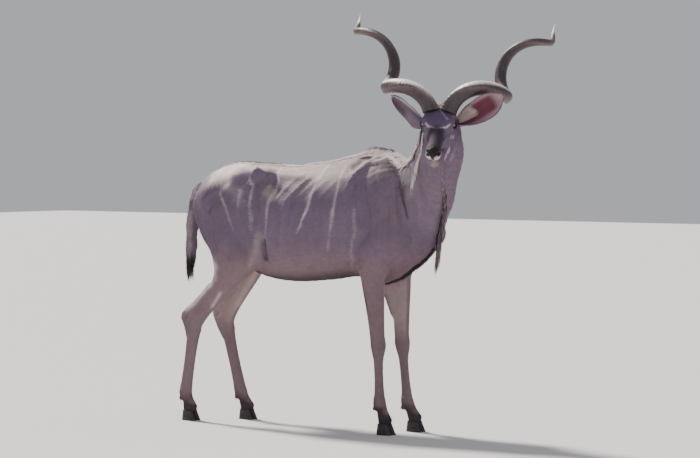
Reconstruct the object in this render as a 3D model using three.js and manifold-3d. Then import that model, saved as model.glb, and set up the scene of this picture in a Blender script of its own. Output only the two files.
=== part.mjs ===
// A life-size greater kudu bull, standing still with its head turned to its right.
// Millimetres. +X is forward, +Y is the animal's left, +Z is up, and the hooves stand on Z = 0.
// The flesh is one smooth body, parted by thin plane cuts. Horns, ears, eyes and hooves are separate.

import * as THREE from "three";
import { mergeVertices } from "three/addons/utils/BufferGeometryUtils.js";
import Module from "manifold-3d";

const wasm = await Module();
wasm.setup();

// Driving dimensions

const GAP = 0.3; // left open between two pieces that meet
const GRID_STEP = 12; // size of the cells that find the surface of the flesh
const FLESH_TOLERANCES = [1, 2, 3, 3.5]; // how far each pass that thins out its triangles may move it
const TRIM_TOLERANCE = 0.1; // the same, along the edges of the cuts
const BOX_CENTRE = [-345.5, 177.3]; // middle of the box from above, from the zero under the withers
const CORONET = 56; // height where the hooves end and the hair begins

// The head: the point between the eyes, and how the head is turned, nodded and tilted
const EYE_LINE = [381, -150, 1536];
const HEAD_TURN = -59;
const FACE_SLOPE = -30;
const HEAD_TILT = 3;

const EYE = { forward: 0, aside: 62, above: 6, radius: 20.5 };
const EYE_OPENING = { aside: 82, radii: [17, 15, 10.5] };

// Stations of the body: centre x, y, z, then half the width, the height above and the depth below,
// and where given the turn of the section about the vertical in degrees.

const TRUNK = [
  [-1195, 0, 1135, 88, 110, 90],
  [-1120, 0, 1120, 140, 182, 150],
  [-1000, 0, 1120, 170, 222, 200],
  [-880, 0, 1100, 190, 245, 280],
  [-760, 0, 1070, 215, 268, 315],
  [-600, 0, 1050, 232, 283, 315],
  [-400, 0, 1050, 225, 285, 300],
  [-220, 0, 1060, 205, 300, 290],
  [-80, 0, 1070, 180, 310, 335],
  [50, 0, 1050, 160, 260, 290],
  [145, 0, 1020, 130, 170, 200],
  [200, 0, 1000, 85, 120, 108],
];

const WITHERS = [
  [-500, 0, 1250, 60, 75, 80],
  [-340, 0, 1270, 60, 85, 80],
  [-200, 0, 1290, 55, 98, 80],
  [-80, 0, 1310, 50, 108, 80],
  [20, 0, 1270, 45, 100, 80],
  [90, 0, 1220, 45, 90, 80],
];

const NECK = [
  [20, 0, 1100, 125, 200, 180, 0],
  [130, 0, 1150, 125, 185, 185, -3],
  [200, -5, 1220, 120, 160, 185, -12],
  [260, -20, 1300, 116, 135, 165, -28],
  [303, -29, 1380, 116, 125, 145, -42],
  [324, -43, 1460, 106, 115, 120, -52],
  [331, -55, 1530, 88, 90, 100, -57],
];

// Mane along the nape, and the fringe that hangs from throat and chest
const CREST = [
  [60, 0, 1315, 16, 30, 30, 0],
  [118, 12, 1345, 17, 36, 40, -5],
  [162, 34, 1400, 17, 38, 40, -25],
  [212, 52, 1472, 16, 30, 36, -42],
  [262, 42, 1560, 14, 20, 30, -52],
];

const FRINGE = [
  [372, -136, 1450, 13, 24, 26, -52],
  [390, -126, 1340, 14, 24, 30, -46],
  [384, -92, 1225, 14, 26, 30, -30],
  [345, -40, 1110, 14, 28, 30, -14],
  [306, -10, 1020, 14, 30, 24, 0],
  [286, 0, 930, 13, 20, 22, 0],
  [266, 0, 830, 9, 12, 12, 0],
];

const TAIL = [
  [-1180, 0, 1235, 30, 30, 30],
  [-1250, 0, 1200, 36, 30, 32],
  [-1292, 0, 1120, 34, 24, 27],
  [-1315, 0, 1020, 36, 24, 26],
  [-1325, 0, 920, 38, 24, 26],
  [-1330, 0, 820, 42, 26, 28],
  [-1340, 0, 750, 35, 20, 20],
  [-1360, 0, 690, 9, 8, 8],
];

// Paired muscles and bones, given for the animal's left side
const SHOULDER_BLADE = [
  [-5, 80, 1335, 32, 45, 45],
  [20, 115, 1250, 50, 85, 85],
  [75, 135, 1120, 65, 100, 110],
  [115, 142, 1000, 66, 85, 100],
];

const UPPER_ARM = [
  [115, 142, 1000, 62, 85, 90],
  [35, 148, 930, 65, 90, 110],
  [-45, 140, 860, 58, 75, 85],
];

const POINT_OF_HIP = [
  [-900, 100, 1270, 50, 50, 50],
  [-750, 135, 1285, 40, 35, 35],
  [-700, 125, 1285, 35, 30, 30],
];

// Muscle behind the forearm of the left foreleg, which stands a little further back
const ELBOW = [
  [-115, 112, 800, 42, 50, 55],
  [-100, 110, 700, 34, 40, 46],
  [-72, 110, 610, 26, 30, 30],
];

// Stations of the head, in the head's own frame: forward along the face, left, and up from the eye line
const SKULL = [
  [264, 0, -16, 38, 28, 26],
  [240, 0, -13, 42, 37, 34],
  [200, 0, -12, 38, 44, 40],
  [150, 0, -12, 41, 51, 48],
  [90, 0, -14, 48, 61, 58],
  [30, 0, -16, 60, 72, 78],
  [-30, 0, -18, 70, 78, 85],
  [-80, 0, -20, 68, 74, 75],
  [-125, 0, -30, 58, 60, 60],
].reverse();

const JAW = [
  [-70, 0, -78, 45, 40, 35],
  [0, 0, -74, 40, 40, 30],
  [80, 0, -60, 30, 30, 22],
  [160, 0, -50, 24, 25, 16],
  [232, 0, -47, 26, 20, 15],
];

const BROW = [
  [-50, 50, 12, 30, 34, 30],
  [-5, 54, 14, 30, 32, 30],
  [35, 44, 8, 22, 26, 25],
];

const CHEEK = [
  [-70, 40, -60, 30, 50, 45],
  [-10, 40, -62, 30, 45, 38],
  [60, 34, -52, 22, 30, 26],
];

// Legs: the bones run through these joints, and each table gives bone, share of its length,
// half the width, and the flesh in front of and behind the bone.
const FORE_SECTIONS = [
  [0, 0, 56, 72, 78],
  [0, 0.3, 50, 60, 60],
  [0, 0.62, 41, 47, 45],
  [0, 0.88, 37, 39, 39],
  [1, 0, 39, 42, 38],
  [1, 0.12, 34, 36, 34],
  [1, 0.3, 24, 25, 28],
  [1, 0.6, 21.5, 23, 27],
  [1, 0.85, 25, 26, 30],
  [2, 0, 30, 32, 38],
  [2, 0.5, 28, 28, 30],
  [2, 1, 35, 36, 36],
];

const HIND_SECTIONS = [
  [0, 0, 70, 75, 100],
  [0, 0.2, 66, 72, 85],
  [0, 0.4, 56, 62, 62],
  [0, 0.62, 44, 50, 54],
  [0, 0.82, 37, 43, 48],
  [0, 1, 38, 48, 44],
  [1, 0.12, 36, 38, 46],
  [1, 0.27, 29, 31, 42],
  [1, 0.55, 25, 28, 38],
  [1, 0.85, 27, 30, 38],
  [2, 0, 32, 34, 40],
  [2, 0.5, 29, 30, 31],
  [2, 1, 36, 38, 37],
];

const FORELEGS = {
  right: {
    elbow: [-45, -125, 840],
    knee: [-13, -115, 445],
    fetlock: [-1, -115, 160],
    coronet: [30, -115, 72],
  },
  left: {
    elbow: [-60, 125, 840],
    knee: [-31, 110, 445],
    fetlock: [4, 110, 150],
    coronet: [48, 110, 70],
  },
};

const HIND_LEGS = {
  right: {
    hip: [-1020, -95, 1130],
    stifle: [-840, -150, 860],
    hock: [-1190, -125, 525],
    heel: [-1262, -122, 552],
    fetlock: [-1262, -120, 145],
    coronet: [-1235, -120, 70],
  },
  left: {
    hip: [-1060, 95, 1130],
    stifle: [-1010, 155, 860],
    hock: [-1185, 115, 520],
    heel: [-1250, 115, 560],
    fetlock: [-1080, 110, 145],
    coronet: [-1040, 110, 70],
  },
};

// One claw of a hoof, from the middle of the coronet: heel and toe on the ground, and its top
const CLAW = { heel: -38, toe: 56, width: 35, topHeel: -30, topToe: 27, topWidth: 29, spread: 18.2 };

// Horns, in a level frame at the eye line: outwards, up and forward. Each is a helix of its own,
// and coil gives the radius of the helix at each half turn.
const HORN = {
  base: [47, 72, -25],
  thickness: [40.5, 40.2, 37.5, 34.5, 31.5, 29.8, 27.8, 24.8, 21.8, 19.5, 17, 12.5, 2.5], // radius
  root: 14, // length buried in the skull
  steps: 28,
  sides: 8,
};
const HELIX = {
  right: { perTurn: [214, 272, -351], turns: 1.869, coil: [70.5, 62.7, 47.9, 53.5, 33.8] },
  left: { perTurn: [220, 265, -362], turns: 1.881, coil: [76.7, 87.9, 58.3, 49.7, 26.1] },
};

// Ears: root and tip in the same level frame, the way the open side looks, and how far the shell sags
const EARS = {
  left: { root: [67, 2, -80], tip: [304, 154, 40], looks: [0.1, -0.1, 1], sag: 5 },
  right: { root: [66, 6, -96], tip: [252, 121, -165], looks: [-0.52, 0.73, -0.42], sag: 0 },
};
const EAR_WIDTH = [20, 31, 43, 54, 60, 62, 58, 44, 12]; // half the width, at even steps to the tip
const EAR_WRAP = [165, 140, 105, 82, 70, 62, 56, 50, 45]; // half the angle the shell wraps round
const EAR_THICKNESS = 6;

// Colours and finish

const finish = (color, roughness) => new THREE.MeshStandardMaterial({ color, roughness, metalness: 0 });
const COAT = finish(0x8d7a6b, 0.9);
const DARK_COAT = finish(0x4a3f3a, 0.9);
const LEG_COAT = finish(0xa08468, 0.9);
const HORN_FINISH = finish(0x3f342c, 0.55);
const HOOF_FINISH = finish(0x1d1a19, 0.5);
const EYE_FINISH = finish(0x120c08, 0.1);

// Small vector helpers

const vec = (p) => new THREE.Vector3(...p);
const mix = (a, b, t) => a.map((value, i) => value + (b[i] - value) * t);
const mirrored = (rows) => rows.map(([x, y, ...rest]) => [x, -y, ...rest]);
const atStep = (values, t) => {
  const place = Math.min(Math.max(t, 0), 1) * (values.length - 1);
  const i = Math.min(Math.floor(place), values.length - 2);
  return values[i] + (values[i + 1] - values[i]) * (place - i);
};

// Frames of the head: a level one for horns and ears, and one along the face

function levelFrame() {
  const turn = THREE.MathUtils.degToRad(HEAD_TURN);
  const tilt = THREE.MathUtils.degToRad(HEAD_TILT);
  const forward = new THREE.Vector3(Math.cos(turn), Math.sin(turn), 0);
  const left = new THREE.Vector3(-Math.sin(turn), Math.cos(turn), 0);
  left.applyAxisAngle(forward, -tilt);
  const up = new THREE.Vector3().crossVectors(forward, left);
  return { origin: vec(EYE_LINE), forward, left, up };
}

function faceFrame() {
  const level = levelFrame();
  const slope = THREE.MathUtils.degToRad(-FACE_SLOPE);
  const forward = level.forward.clone().applyAxisAngle(level.left, slope);
  const up = level.up.clone().applyAxisAngle(level.left, slope);
  return { origin: level.origin, forward, left: level.left, up };
}

const LEVEL = levelFrame();
const FACE = faceFrame();

function inFrame(frame, forward, left, up) {
  return frame.origin
    .clone()
    .addScaledVector(frame.forward, forward)
    .addScaledVector(frame.left, left)
    .addScaledVector(frame.up, up);
}

// A limb is a chain of stations, smoothed, whose sections are ovals. It gives the distance to its skin.

function smoothed(rows, perSpan) {
  const last = rows.length - 1;
  const before = rows[0].map((value, i) => 2 * value - rows[1][i]);
  const after = rows[last].map((value, i) => 2 * value - rows[last - 1][i]);
  const all = [before, ...rows, after];
  const out = [];
  for (let i = 1; i <= last; i++) {
    for (let k = 0; k < perSpan; k++) {
      const t = k / perSpan;
      out.push(
        all[i].map((b, n) => {
          const a = all[i - 1][n];
          const c = all[i + 1][n];
          const d = all[i + 2][n];
          return b + 0.5 * t * (c - a + t * (2 * a - 5 * b + 4 * c - d + t * (3 * (b - c) + d - a)));
        }),
      );
    }
  }
  out.push(rows[last]);
  return out;
}

function limb(rows, blend, perSpan = 3, frame = null) {
  const full = rows.map((row) => (row.length === 6 ? [...row, 0] : row));
  const stations = smoothed(full, perSpan).map(([x, y, z, side, up, down, turn]) => {
    const angle = THREE.MathUtils.degToRad(turn);
    if (frame) return { centre: inFrame(frame, x, y, z), sideways: frame.left, radii: [side, up, down] };
    const sideways = new THREE.Vector3(-Math.sin(angle), Math.cos(angle), 0);
    return { centre: new THREE.Vector3(x, y, z), sideways, radii: [side, up, down] };
  });
  const segments = [];
  for (let i = 0; i + 1 < stations.length; i++) segments.push(segment(stations[i], stations[i + 1]));
  const box = new THREE.Box3();
  segments.forEach((s) => box.union(s.box));
  return { segments, blend, box };
}

function segment(from, to) {
  const along = to.centre.clone().sub(from.centre);
  const length = along.length();
  along.divideScalar(length);
  const side = from.sideways.clone().add(to.sideways);
  side.addScaledVector(along, -side.dot(along)).normalize();
  const up = new THREE.Vector3().crossVectors(along, side);
  const reach = Math.max(...from.radii, ...to.radii);
  const box = new THREE.Box3().setFromPoints([from.centre, to.centre]).expandByScalar(reach);
  return { start: from.centre, along, length, side, up, from: from.radii, to: to.radii, box };
}

const probe = new THREE.Vector3();

function segmentDistance(s, point) {
  probe.copy(point).sub(s.start);
  const t = Math.min(Math.max(probe.dot(s.along) / s.length, 0), 1);
  probe.addScaledVector(s.along, -t * s.length);
  const a = probe.dot(s.side);
  const b = probe.dot(s.up);
  const c = probe.dot(s.along);
  const which = b > 0 ? 1 : 2;
  const side = s.from[0] + (s.to[0] - s.from[0]) * t;
  const high = s.from[which] + (s.to[which] - s.from[which]) * t;
  const other = s.from[3 - which] + (s.to[3 - which] - s.from[3 - which]) * t;
  const end = Math.min(side, high, other);
  const near = Math.hypot(a / side, b / high, c / end);
  if (near < 1e-3) return -end;
  return (near * (near - 1)) / Math.hypot(a / side ** 2, b / high ** 2, c / end ** 2);
}

function smoothUnion(a, b, blend) {
  const h = Math.min(Math.max(0.5 + (0.5 * (b - a)) / blend, 0), 1);
  return b + (a - b) * h - blend * h * (1 - h);
}

const FAR = 9000;

function fleshDistance(limbs, point, pad) {
  let value = FAR;
  for (const one of limbs) {
    const reach = pad + one.blend;
    if (one.box.distanceToPoint(point) > reach) continue;
    let nearest = FAR;
    for (const s of one.segments) {
      if (s.box.distanceToPoint(point) > reach) continue;
      nearest = Math.min(nearest, segmentDistance(s, point));
    }
    value = smoothUnion(value, nearest, one.blend);
  }
  return value;
}

// The limbs of the whole body

function alongBones(joints, sections) {
  return sections.map(([bone, share, ...sizes]) => [...mix(joints[bone], joints[bone + 1], share), ...sizes]);
}

function forelegLimbs(leg) {
  const joints = [leg.elbow, leg.knee, leg.fetlock, leg.coronet];
  return [limb(alongBones(joints, FORE_SECTIONS), 40, 2), ...dewclaws(leg)];
}

function dewclaws(leg) {
  const [x, y, z] = leg.fetlock;
  return [-1, 1].map((side) =>
    limb(
      [
        [x - 14, y + 16 * side, z - 18, 12, 13, 13],
        [x - 21, y + 17 * side, z - 29, 11, 11, 11],
      ],
      8,
      2,
    ),
  );
}

function hindLegLimbs(leg, side) {
  const joints = [leg.stifle, leg.hock, leg.fetlock, leg.coronet];
  return [
    limb(thigh(leg, side), 50),
    limb(buttock(leg, side), 50),
    limb(alongBones(joints, HIND_SECTIONS), 45, 2),
    limb(heelTendon(leg), 40),
    ...dewclaws(leg),
  ];
}

function thigh({ hip, stifle }, side) {
  const upper = mix(hip, stifle, 0.25);
  const middle = mix(hip, stifle, 0.5);
  return [
    [hip[0] - 10, hip[1], hip[2] + 60, 75, 110, 120],
    [upper[0], upper[1], upper[2] + 20, 85, 150, 150],
    [middle[0], middle[1] + 10 * side, middle[2] - 30, 83, 135, 135],
    [stifle[0], stifle[1] * 0.97, stifle[2] + 20, 74, 100, 100],
  ];
}

function buttock({ hip, stifle, hock }, side) {
  const calf = mix(stifle, hock, 0.38);
  return [
    [-1180, 65 * side, 1130, 45, 50, 50],
    [-1130, 90 * side, 1010, 55, 70, 60],
    [hip[0] * 0.35 + calf[0] * 0.65 - 42, 110 * side, 880, 55, 70, 60],
    [calf[0] - 20, calf[1], calf[2] + 5, 36, 42, 42],
  ];
}

function heelTendon({ stifle, hock, heel, fetlock }) {
  const shin = vec(hock).sub(vec(stifle)).setY(0).normalize();
  const behindShin = new THREE.Vector3(shin.z, 0, -shin.x);
  const cannon = vec(fetlock).sub(vec(hock)).setY(0).normalize();
  const behindCannon = new THREE.Vector3(cannon.z, 0, -cannon.x);
  const top = vec(mix(stifle, hock, 0.58)).addScaledVector(behindShin, 30);
  const tip = vec(heel);
  const middle = top.clone().lerp(tip, 0.55).addScaledVector(behindShin, -4);
  const low = vec(mix(hock, fetlock, 0.16)).addScaledVector(behindCannon, 22);
  const below = tip.clone().lerp(low, 0.5).addScaledVector(behindCannon, 8);
  return [
    [...top, 32, 34, 34],
    [...middle, 24, 28, 30],
    [...tip, 21, 22, 22],
    [...below, 24, 24, 25],
    [...low, 22, 22, 22],
  ];
}

function bodyLimbs() {
  const limbs = [limb(TRUNK, 30, 4), limb(WITHERS, 60), limb(NECK, 60, 4)];
  limbs.push(limb(CREST, 25), limb(FRINGE, 20, 4), limb(TAIL, 30), limb(ELBOW, 40));
  limbs.push(limb(SKULL, 30, 3, FACE), limb(JAW, 30, 3, FACE));
  for (const rows of [SHOULDER_BLADE, UPPER_ARM, POINT_OF_HIP]) {
    limbs.push(limb(rows, 50), limb(mirrored(rows), 50));
  }
  for (const rows of [BROW, CHEEK]) {
    limbs.push(limb(rows, 25, 3, FACE), limb(mirrored(rows), 25, 3, FACE));
  }
  limbs.push(...forelegLimbs(FORELEGS.right), ...forelegLimbs(FORELEGS.left));
  limbs.push(...hindLegLimbs(HIND_LEGS.right, -1), ...hindLegLimbs(HIND_LEGS.left, 1));
  return limbs;
}

// The surface of the flesh: cells that the skin passes through, each cut as six tetrahedra

const CORNERS = [0, 1, 2, 3, 4, 5, 6, 7].map((n) => [n >> 2, (n >> 1) & 1, n & 1]);
const TETRAHEDRA = [
  [0, 4, 6, 7],
  [0, 6, 2, 7],
  [0, 2, 3, 7],
  [0, 3, 1, 7],
  [0, 1, 5, 7],
  [0, 5, 4, 7],
];

function surfaceCells(distance, low, high, step) {
  const levels = 4;
  const coarse = step * 2 ** levels;
  const cells = [];
  const centre = new THREE.Vector3();
  const visit = (i, j, k, size) => {
    const half = size / 2;
    centre.set(low[0] + i * step + half, low[1] + j * step + half, low[2] + k * step + half);
    if (Math.abs(distance(centre, size * 1.3)) > size * 1.2) return;
    if (size === step) {
      cells.push([i, j, k]);
      return;
    }
    const jump = half / step;
    for (const [a, b, c] of CORNERS) visit(i + a * jump, j + b * jump, k + c * jump, half);
  };
  const jump = coarse / step;
  const counts = low.map((value, n) => Math.ceil((high[n] - value) / coarse));
  for (let i = 0; i < counts[0]; i++) {
    for (let j = 0; j < counts[1]; j++) {
      for (let k = 0; k < counts[2]; k++) visit(i * jump, j * jump, k * jump, coarse);
    }
  }
  return cells;
}

function fleshSolid(distance, low, high, step) {
  const values = new Map();
  const points = [];
  const edges = new Map();
  const triangles = [];
  const corner = new THREE.Vector3();
  const key = (i, j, k) => (i * 1024 + j) * 1024 + k;
  const valueAt = (i, j, k) => {
    const name = key(i, j, k);
    if (!values.has(name)) {
      corner.set(low[0] + i * step, low[1] + j * step, low[2] + k * step);
      values.set(name, distance(corner, step * 3) || 1e-6);
    }
    return values.get(name);
  };
  const crossing = (a, b) => {
    const [first, second] = a.name < b.name ? [a, b] : [b, a];
    const name = first.name + ":" + second.name;
    if (!edges.has(name)) {
      const share = Math.min(Math.max(first.value / (first.value - second.value), 0.02), 0.98);
      edges.set(name, points.length / 3);
      for (let n = 0; n < 3; n++) {
        points.push(low[n] + step * (first.at[n] + (second.at[n] - first.at[n]) * share));
      }
    }
    return edges.get(name);
  };
  for (const [i, j, k] of surfaceCells(distance, low, high, step)) {
    const corners = CORNERS.map(([a, b, c]) => {
      const at = [i + a, j + b, k + c];
      return { at, name: key(...at), value: valueAt(...at) };
    });
    for (const four of TETRAHEDRA) cutTetrahedron(four.map((n) => corners[n]), crossing, triangles);
  }
  const mesh = new wasm.Mesh({
    numProp: 3,
    vertProperties: new Float32Array(points),
    triVerts: new Uint32Array(triangles),
  });
  return new wasm.Manifold(mesh);
}

// Adds the one or two triangles where the skin cuts a tetrahedron, facing out
function cutTetrahedron(four, crossing, triangles) {
  const inside = [0, 1, 2, 3].filter((n) => four[n].value < 0);
  const outside = [0, 1, 2, 3].filter((n) => four[n].value >= 0);
  if (inside.length === 0 || outside.length === 0) return;
  const even = isEven([...inside, ...outside]);
  const cut = (a, b) => crossing(four[a], four[b]);
  const add = (a, b, c) => triangles.push(...(even ? [a, b, c] : [a, c, b]));
  if (inside.length === 1) {
    add(...outside.map((n) => cut(inside[0], n)));
  } else if (inside.length === 3) {
    add(...inside.map((n) => cut(n, outside[0])));
  } else {
    const [a, b] = inside;
    const [c, d] = outside;
    const ring = [cut(a, c), cut(a, d), cut(b, d), cut(b, c)];
    add(ring[0], ring[1], ring[2]);
    add(ring[0], ring[2], ring[3]);
  }
}

function isEven(order) {
  let swaps = 0;
  for (let i = 0; i < order.length; i++) {
    for (let j = i + 1; j < order.length; j++) if (order[i] > order[j]) swaps++;
  }
  return swaps % 2 === 0;
}

// Solids and geometries

function solidOf(geometry) {
  const plain = geometry.clone();
  plain.deleteAttribute("normal");
  plain.deleteAttribute("uv");
  const merged = mergeVertices(plain, 1e-3);
  const mesh = new wasm.Mesh({
    numProp: 3,
    vertProperties: new Float32Array(merged.attributes.position.array),
    triVerts: new Uint32Array(merged.index.array),
  });
  return new wasm.Manifold(mesh);
}

function geometryOf(solid) {
  const mesh = solid.simplify(TRIM_TOLERANCE).getMesh();
  const geometry = new THREE.BufferGeometry();
  geometry.setAttribute("position", new THREE.BufferAttribute(mesh.vertProperties, 3));
  geometry.setIndex(new THREE.BufferAttribute(mesh.triVerts, 1));
  return geometry;
}

// A closed skin over rings of equal count, with both ends capped by fans or by strips
function lofted(rings, capEnd) {
  const count = rings[0].length;
  const positions = rings.flat().flatMap((p) => [p.x, p.y, p.z]);
  const index = [];
  for (let i = 0; i + 1 < rings.length; i++) {
    for (let j = 0; j < count; j++) {
      const a = i * count + j;
      const b = i * count + ((j + 1) % count);
      index.push(a, b, b + count, a, b + count, a + count);
    }
  }
  const last = (rings.length - 1) * count;
  for (const [a, b, c] of capEnd(count)) {
    index.push(a, c, b);
    index.push(last + a, last + b, last + c);
  }
  const geometry = new THREE.BufferGeometry();
  geometry.setAttribute("position", new THREE.Float32BufferAttribute(positions, 3));
  geometry.setIndex(index);
  return geometry;
}

function fanCap(count) {
  const faces = [];
  for (let j = 1; j + 1 < count; j++) faces.push([0, j, j + 1]);
  return faces;
}

// For a ring that runs out along one side and back along the other
function stripCap(count) {
  const faces = [];
  for (let j = 0; j < count / 2 - 1; j++) {
    faces.push([j, j + 1, count - 2 - j]);
    faces.push([j, count - 2 - j, count - 1 - j]);
  }
  return faces;
}

// A convex region under a set of planes, for parting the flesh. Each plane is a normal and a point on it,
// and what lies on the normal's side is kept. The region shrinks by the shift.
function regionSolid(planes, shift) {
  const block = solidOf(new THREE.BoxGeometry(5000, 5000, 5000));
  return planes.reduce((solid, { normal, through }) => {
    const n = vec(normal).normalize();
    return solid.trimByPlane(n.toArray(), n.dot(vec(through)) + shift);
  }, block);
}

// Parts one body: what lies in the region, and the rest, with the gap between them
function parted(solid, planes) {
  const inside = solid.intersect(regionSolid(planes, GAP / 2));
  const rest = solid.subtract(regionSolid(planes, -GAP / 2));
  return [inside, rest];
}

function largest(solid) {
  const pieces = solid.decompose();
  return pieces.reduce((best, one) => (one.volume() > best.volume() ? one : best));
}

// Cutting planes between the named parts

const HEAD_PLANE = {
  normal: LEVEL.forward.clone().multiplyScalar(0.61).addScaledVector(LEVEL.up, 0.8).toArray(),
  through: inFrame(LEVEL, 0, 0, -162).toArray(),
};
const NECK_PLANE = { normal: [0.82, 0, 0.574], through: [90, 0, 1330] };
const TAIL_PLANES = [
  { normal: [-1, 0, -0.1], through: [-1258, 0, 1180] },
  { normal: [0, 1, 0], through: [0, -62, 0] },
  { normal: [0, -1, 0], through: [0, 62, 0] },
];

function forelegPlanes(side) {
  return [
    { normal: [0, 0.9 * side, -1], through: [0, 30 * side, 745] },
    { normal: [1, 0, 0], through: [-190, 0, 0] },
    { normal: [-1, 0, 0], through: [130, 0, 0] },
    { normal: [0, side, 0], through: [0, 12 * side, 0] },
  ];
}

function hindLegPlanes(side) {
  return [
    { normal: [-0.69, side, -1], through: [-1000, 30 * side, 930] },
    { normal: [-1, 0, 0], through: [-640, 0, 0] },
    { normal: [0, side, 0], through: [0, 2 * side, 0] },
  ];
}

// Pieces with a shape of their own

function hornRings(side, { perTurn, turns, coil }, extra) {
  const axis = vec(perTurn).normalize();
  const outward = new THREE.Vector3(1, 0, 0);
  outward.addScaledVector(axis, -outward.dot(axis)).normalize();
  const across = new THREE.Vector3().crossVectors(axis, outward);
  const pathPoint = (t) => {
    const turned = Math.PI * (2 * turns * t - 1);
    const radius = atStep(coil, Math.min((turns * t) / 2, 1));
    return vec(HORN.base)
      .addScaledVector(outward, coil[0])
      .addScaledVector(vec(perTurn), turns * t)
      .addScaledVector(outward, radius * Math.cos(turned))
      .addScaledVector(across, radius * Math.sin(turned));
  };
  const place = (p) => inFrame(LEVEL, p.z, p.x * side, p.y);
  const rings = [];
  for (let i = 0; i <= HORN.steps; i++) {
    const t = i / HORN.steps;
    const tangent = pathPoint(t + 0.002).sub(pathPoint(t - 0.002)).normalize();
    const centre = pathPoint(t);
    const turned = Math.PI * (2 * turns * t - 1);
    const radial = outward.clone().multiplyScalar(Math.cos(turned)).addScaledVector(across, Math.sin(turned));
    radial.addScaledVector(tangent, -radial.dot(tangent)).normalize();
    const third = new THREE.Vector3().crossVectors(tangent, radial);
    const radius = atStep(HORN.thickness, t) + extra;
    const ring = (at) =>
      Array.from({ length: HORN.sides }, (_, n) => {
        const angle = (2 * Math.PI * n * side) / HORN.sides;
        return place(
          at
            .clone()
            .addScaledVector(radial, radius * Math.cos(angle))
            .addScaledVector(third, radius * Math.sin(angle)),
        );
      });
    if (i === 0) rings.push(ring(centre.clone().addScaledVector(tangent, -HORN.root - extra)));
    rings.push(ring(centre));
  }
  return rings;
}

function earRings(side, ear, extra) {
  const root = vec(ear.root);
  const length = vec(ear.tip).sub(root);
  const along = length.clone().normalize();
  const looks = vec(ear.looks);
  looks.addScaledVector(along, -looks.dot(along)).normalize();
  const across = new THREE.Vector3().crossVectors(looks, along);
  const steps = 8;
  const halfArc = 4;
  const rings = [];
  for (let i = extra > 0 ? -1 : 0; i <= steps; i++) {
    const t = Math.max(i, 0) / steps;
    const back = i < 0 ? 2 * extra : 0;
    const wrap = THREE.MathUtils.degToRad(atStep(EAR_WRAP, t));
    const width = atStep(EAR_WIDTH, t);
    const radius = width / Math.sin(Math.min(wrap, Math.PI / 2));
    const thick = EAR_THICKNESS * (1 - 0.4 * t) + 2 * extra;
    const sag = -Math.sign(across.y) * ear.sag * Math.sin(Math.PI * t);
    const point = (angle, r) => {
      const p = root
        .clone()
        .addScaledVector(length, t)
        .addScaledVector(along, -back)
        .addScaledVector(across, r * Math.sin(angle) + sag)
        .addScaledVector(looks, radius * Math.cos(wrap) - r * Math.cos(angle));
      return inFrame(LEVEL, p.z, p.x * side, p.y);
    };
    const angles = Array.from({ length: 2 * halfArc + 1 }, (_, n) => wrap * (n / halfArc - 1) * side);
    if (extra > 0) {
      const wider = (wrap + (2 * extra) / radius) * side;
      angles.unshift(-wider);
      angles.push(wider);
    }
    const outer = angles.map((angle) => point(angle, radius + thick / 2));
    const inner = angles.map((angle) => point(angle, Math.max(radius - thick / 2, 0.3 * radius)));
    rings.push([...outer, ...inner.reverse()]);
  }
  return rings;
}

function eyeball(side, extra) {
  const ball = new THREE.SphereGeometry(EYE.radius + extra, 12, 8);
  const at = inFrame(FACE, EYE.forward, EYE.aside * side, EYE.above);
  return ball.translate(at.x, at.y, at.z);
}

function eyeOpening(side) {
  const shape = new THREE.SphereGeometry(1, 10, 6);
  const [x, y, z] = EYE_OPENING.radii;
  shape.scale(x, y, z);
  const turn = new THREE.Matrix4().makeBasis(FACE.forward, FACE.left, FACE.up);
  turn.setPosition(inFrame(FACE, EYE.forward, EYE_OPENING.aside * side, EYE.above));
  return shape.applyMatrix4(turn);
}

function clawGeometry([x, y], side) {
  const sides = 10;
  const ring = (height, heel, toe, width) =>
    Array.from({ length: sides }, (_, n) => {
      const angle = (2 * Math.PI * n) / sides;
      const middle = (heel + toe) / 2;
      const taper = 1 - 0.22 * Math.max(Math.cos(angle), 0);
      return new THREE.Vector3(
        x + middle + ((toe - heel) / 2) * Math.cos(angle),
        y + CLAW.spread * side + (width / 2) * Math.sin(angle) * taper,
        height,
      );
    });
  const top = CORONET - GAP;
  const middle = [0.5 * (CLAW.heel + CLAW.topHeel), 0.5 * (CLAW.toe + CLAW.topToe) + 2];
  return lofted(
    [
      ring(0, CLAW.heel, CLAW.toe, CLAW.width),
      ring(12, CLAW.heel - 1, CLAW.toe - 4, CLAW.width),
      ring(top * 0.6, middle[0], middle[1] - 2, 0.5 * (CLAW.width + CLAW.topWidth) + 1),
      ring(top, CLAW.topHeel, CLAW.topToe, CLAW.topWidth),
    ],
    fanCap,
  );
}

// The whole animal

const kudu = new THREE.Group();
const animal = new THREE.Group();
animal.position.set(-BOX_CENTRE[0], -BOX_CENTRE[1], 0);
kudu.add(animal);

function addPiece(name, geometry, material) {
  const piece = new THREE.Mesh(geometry, material);
  piece.name = name;
  animal.add(piece);
}

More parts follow.
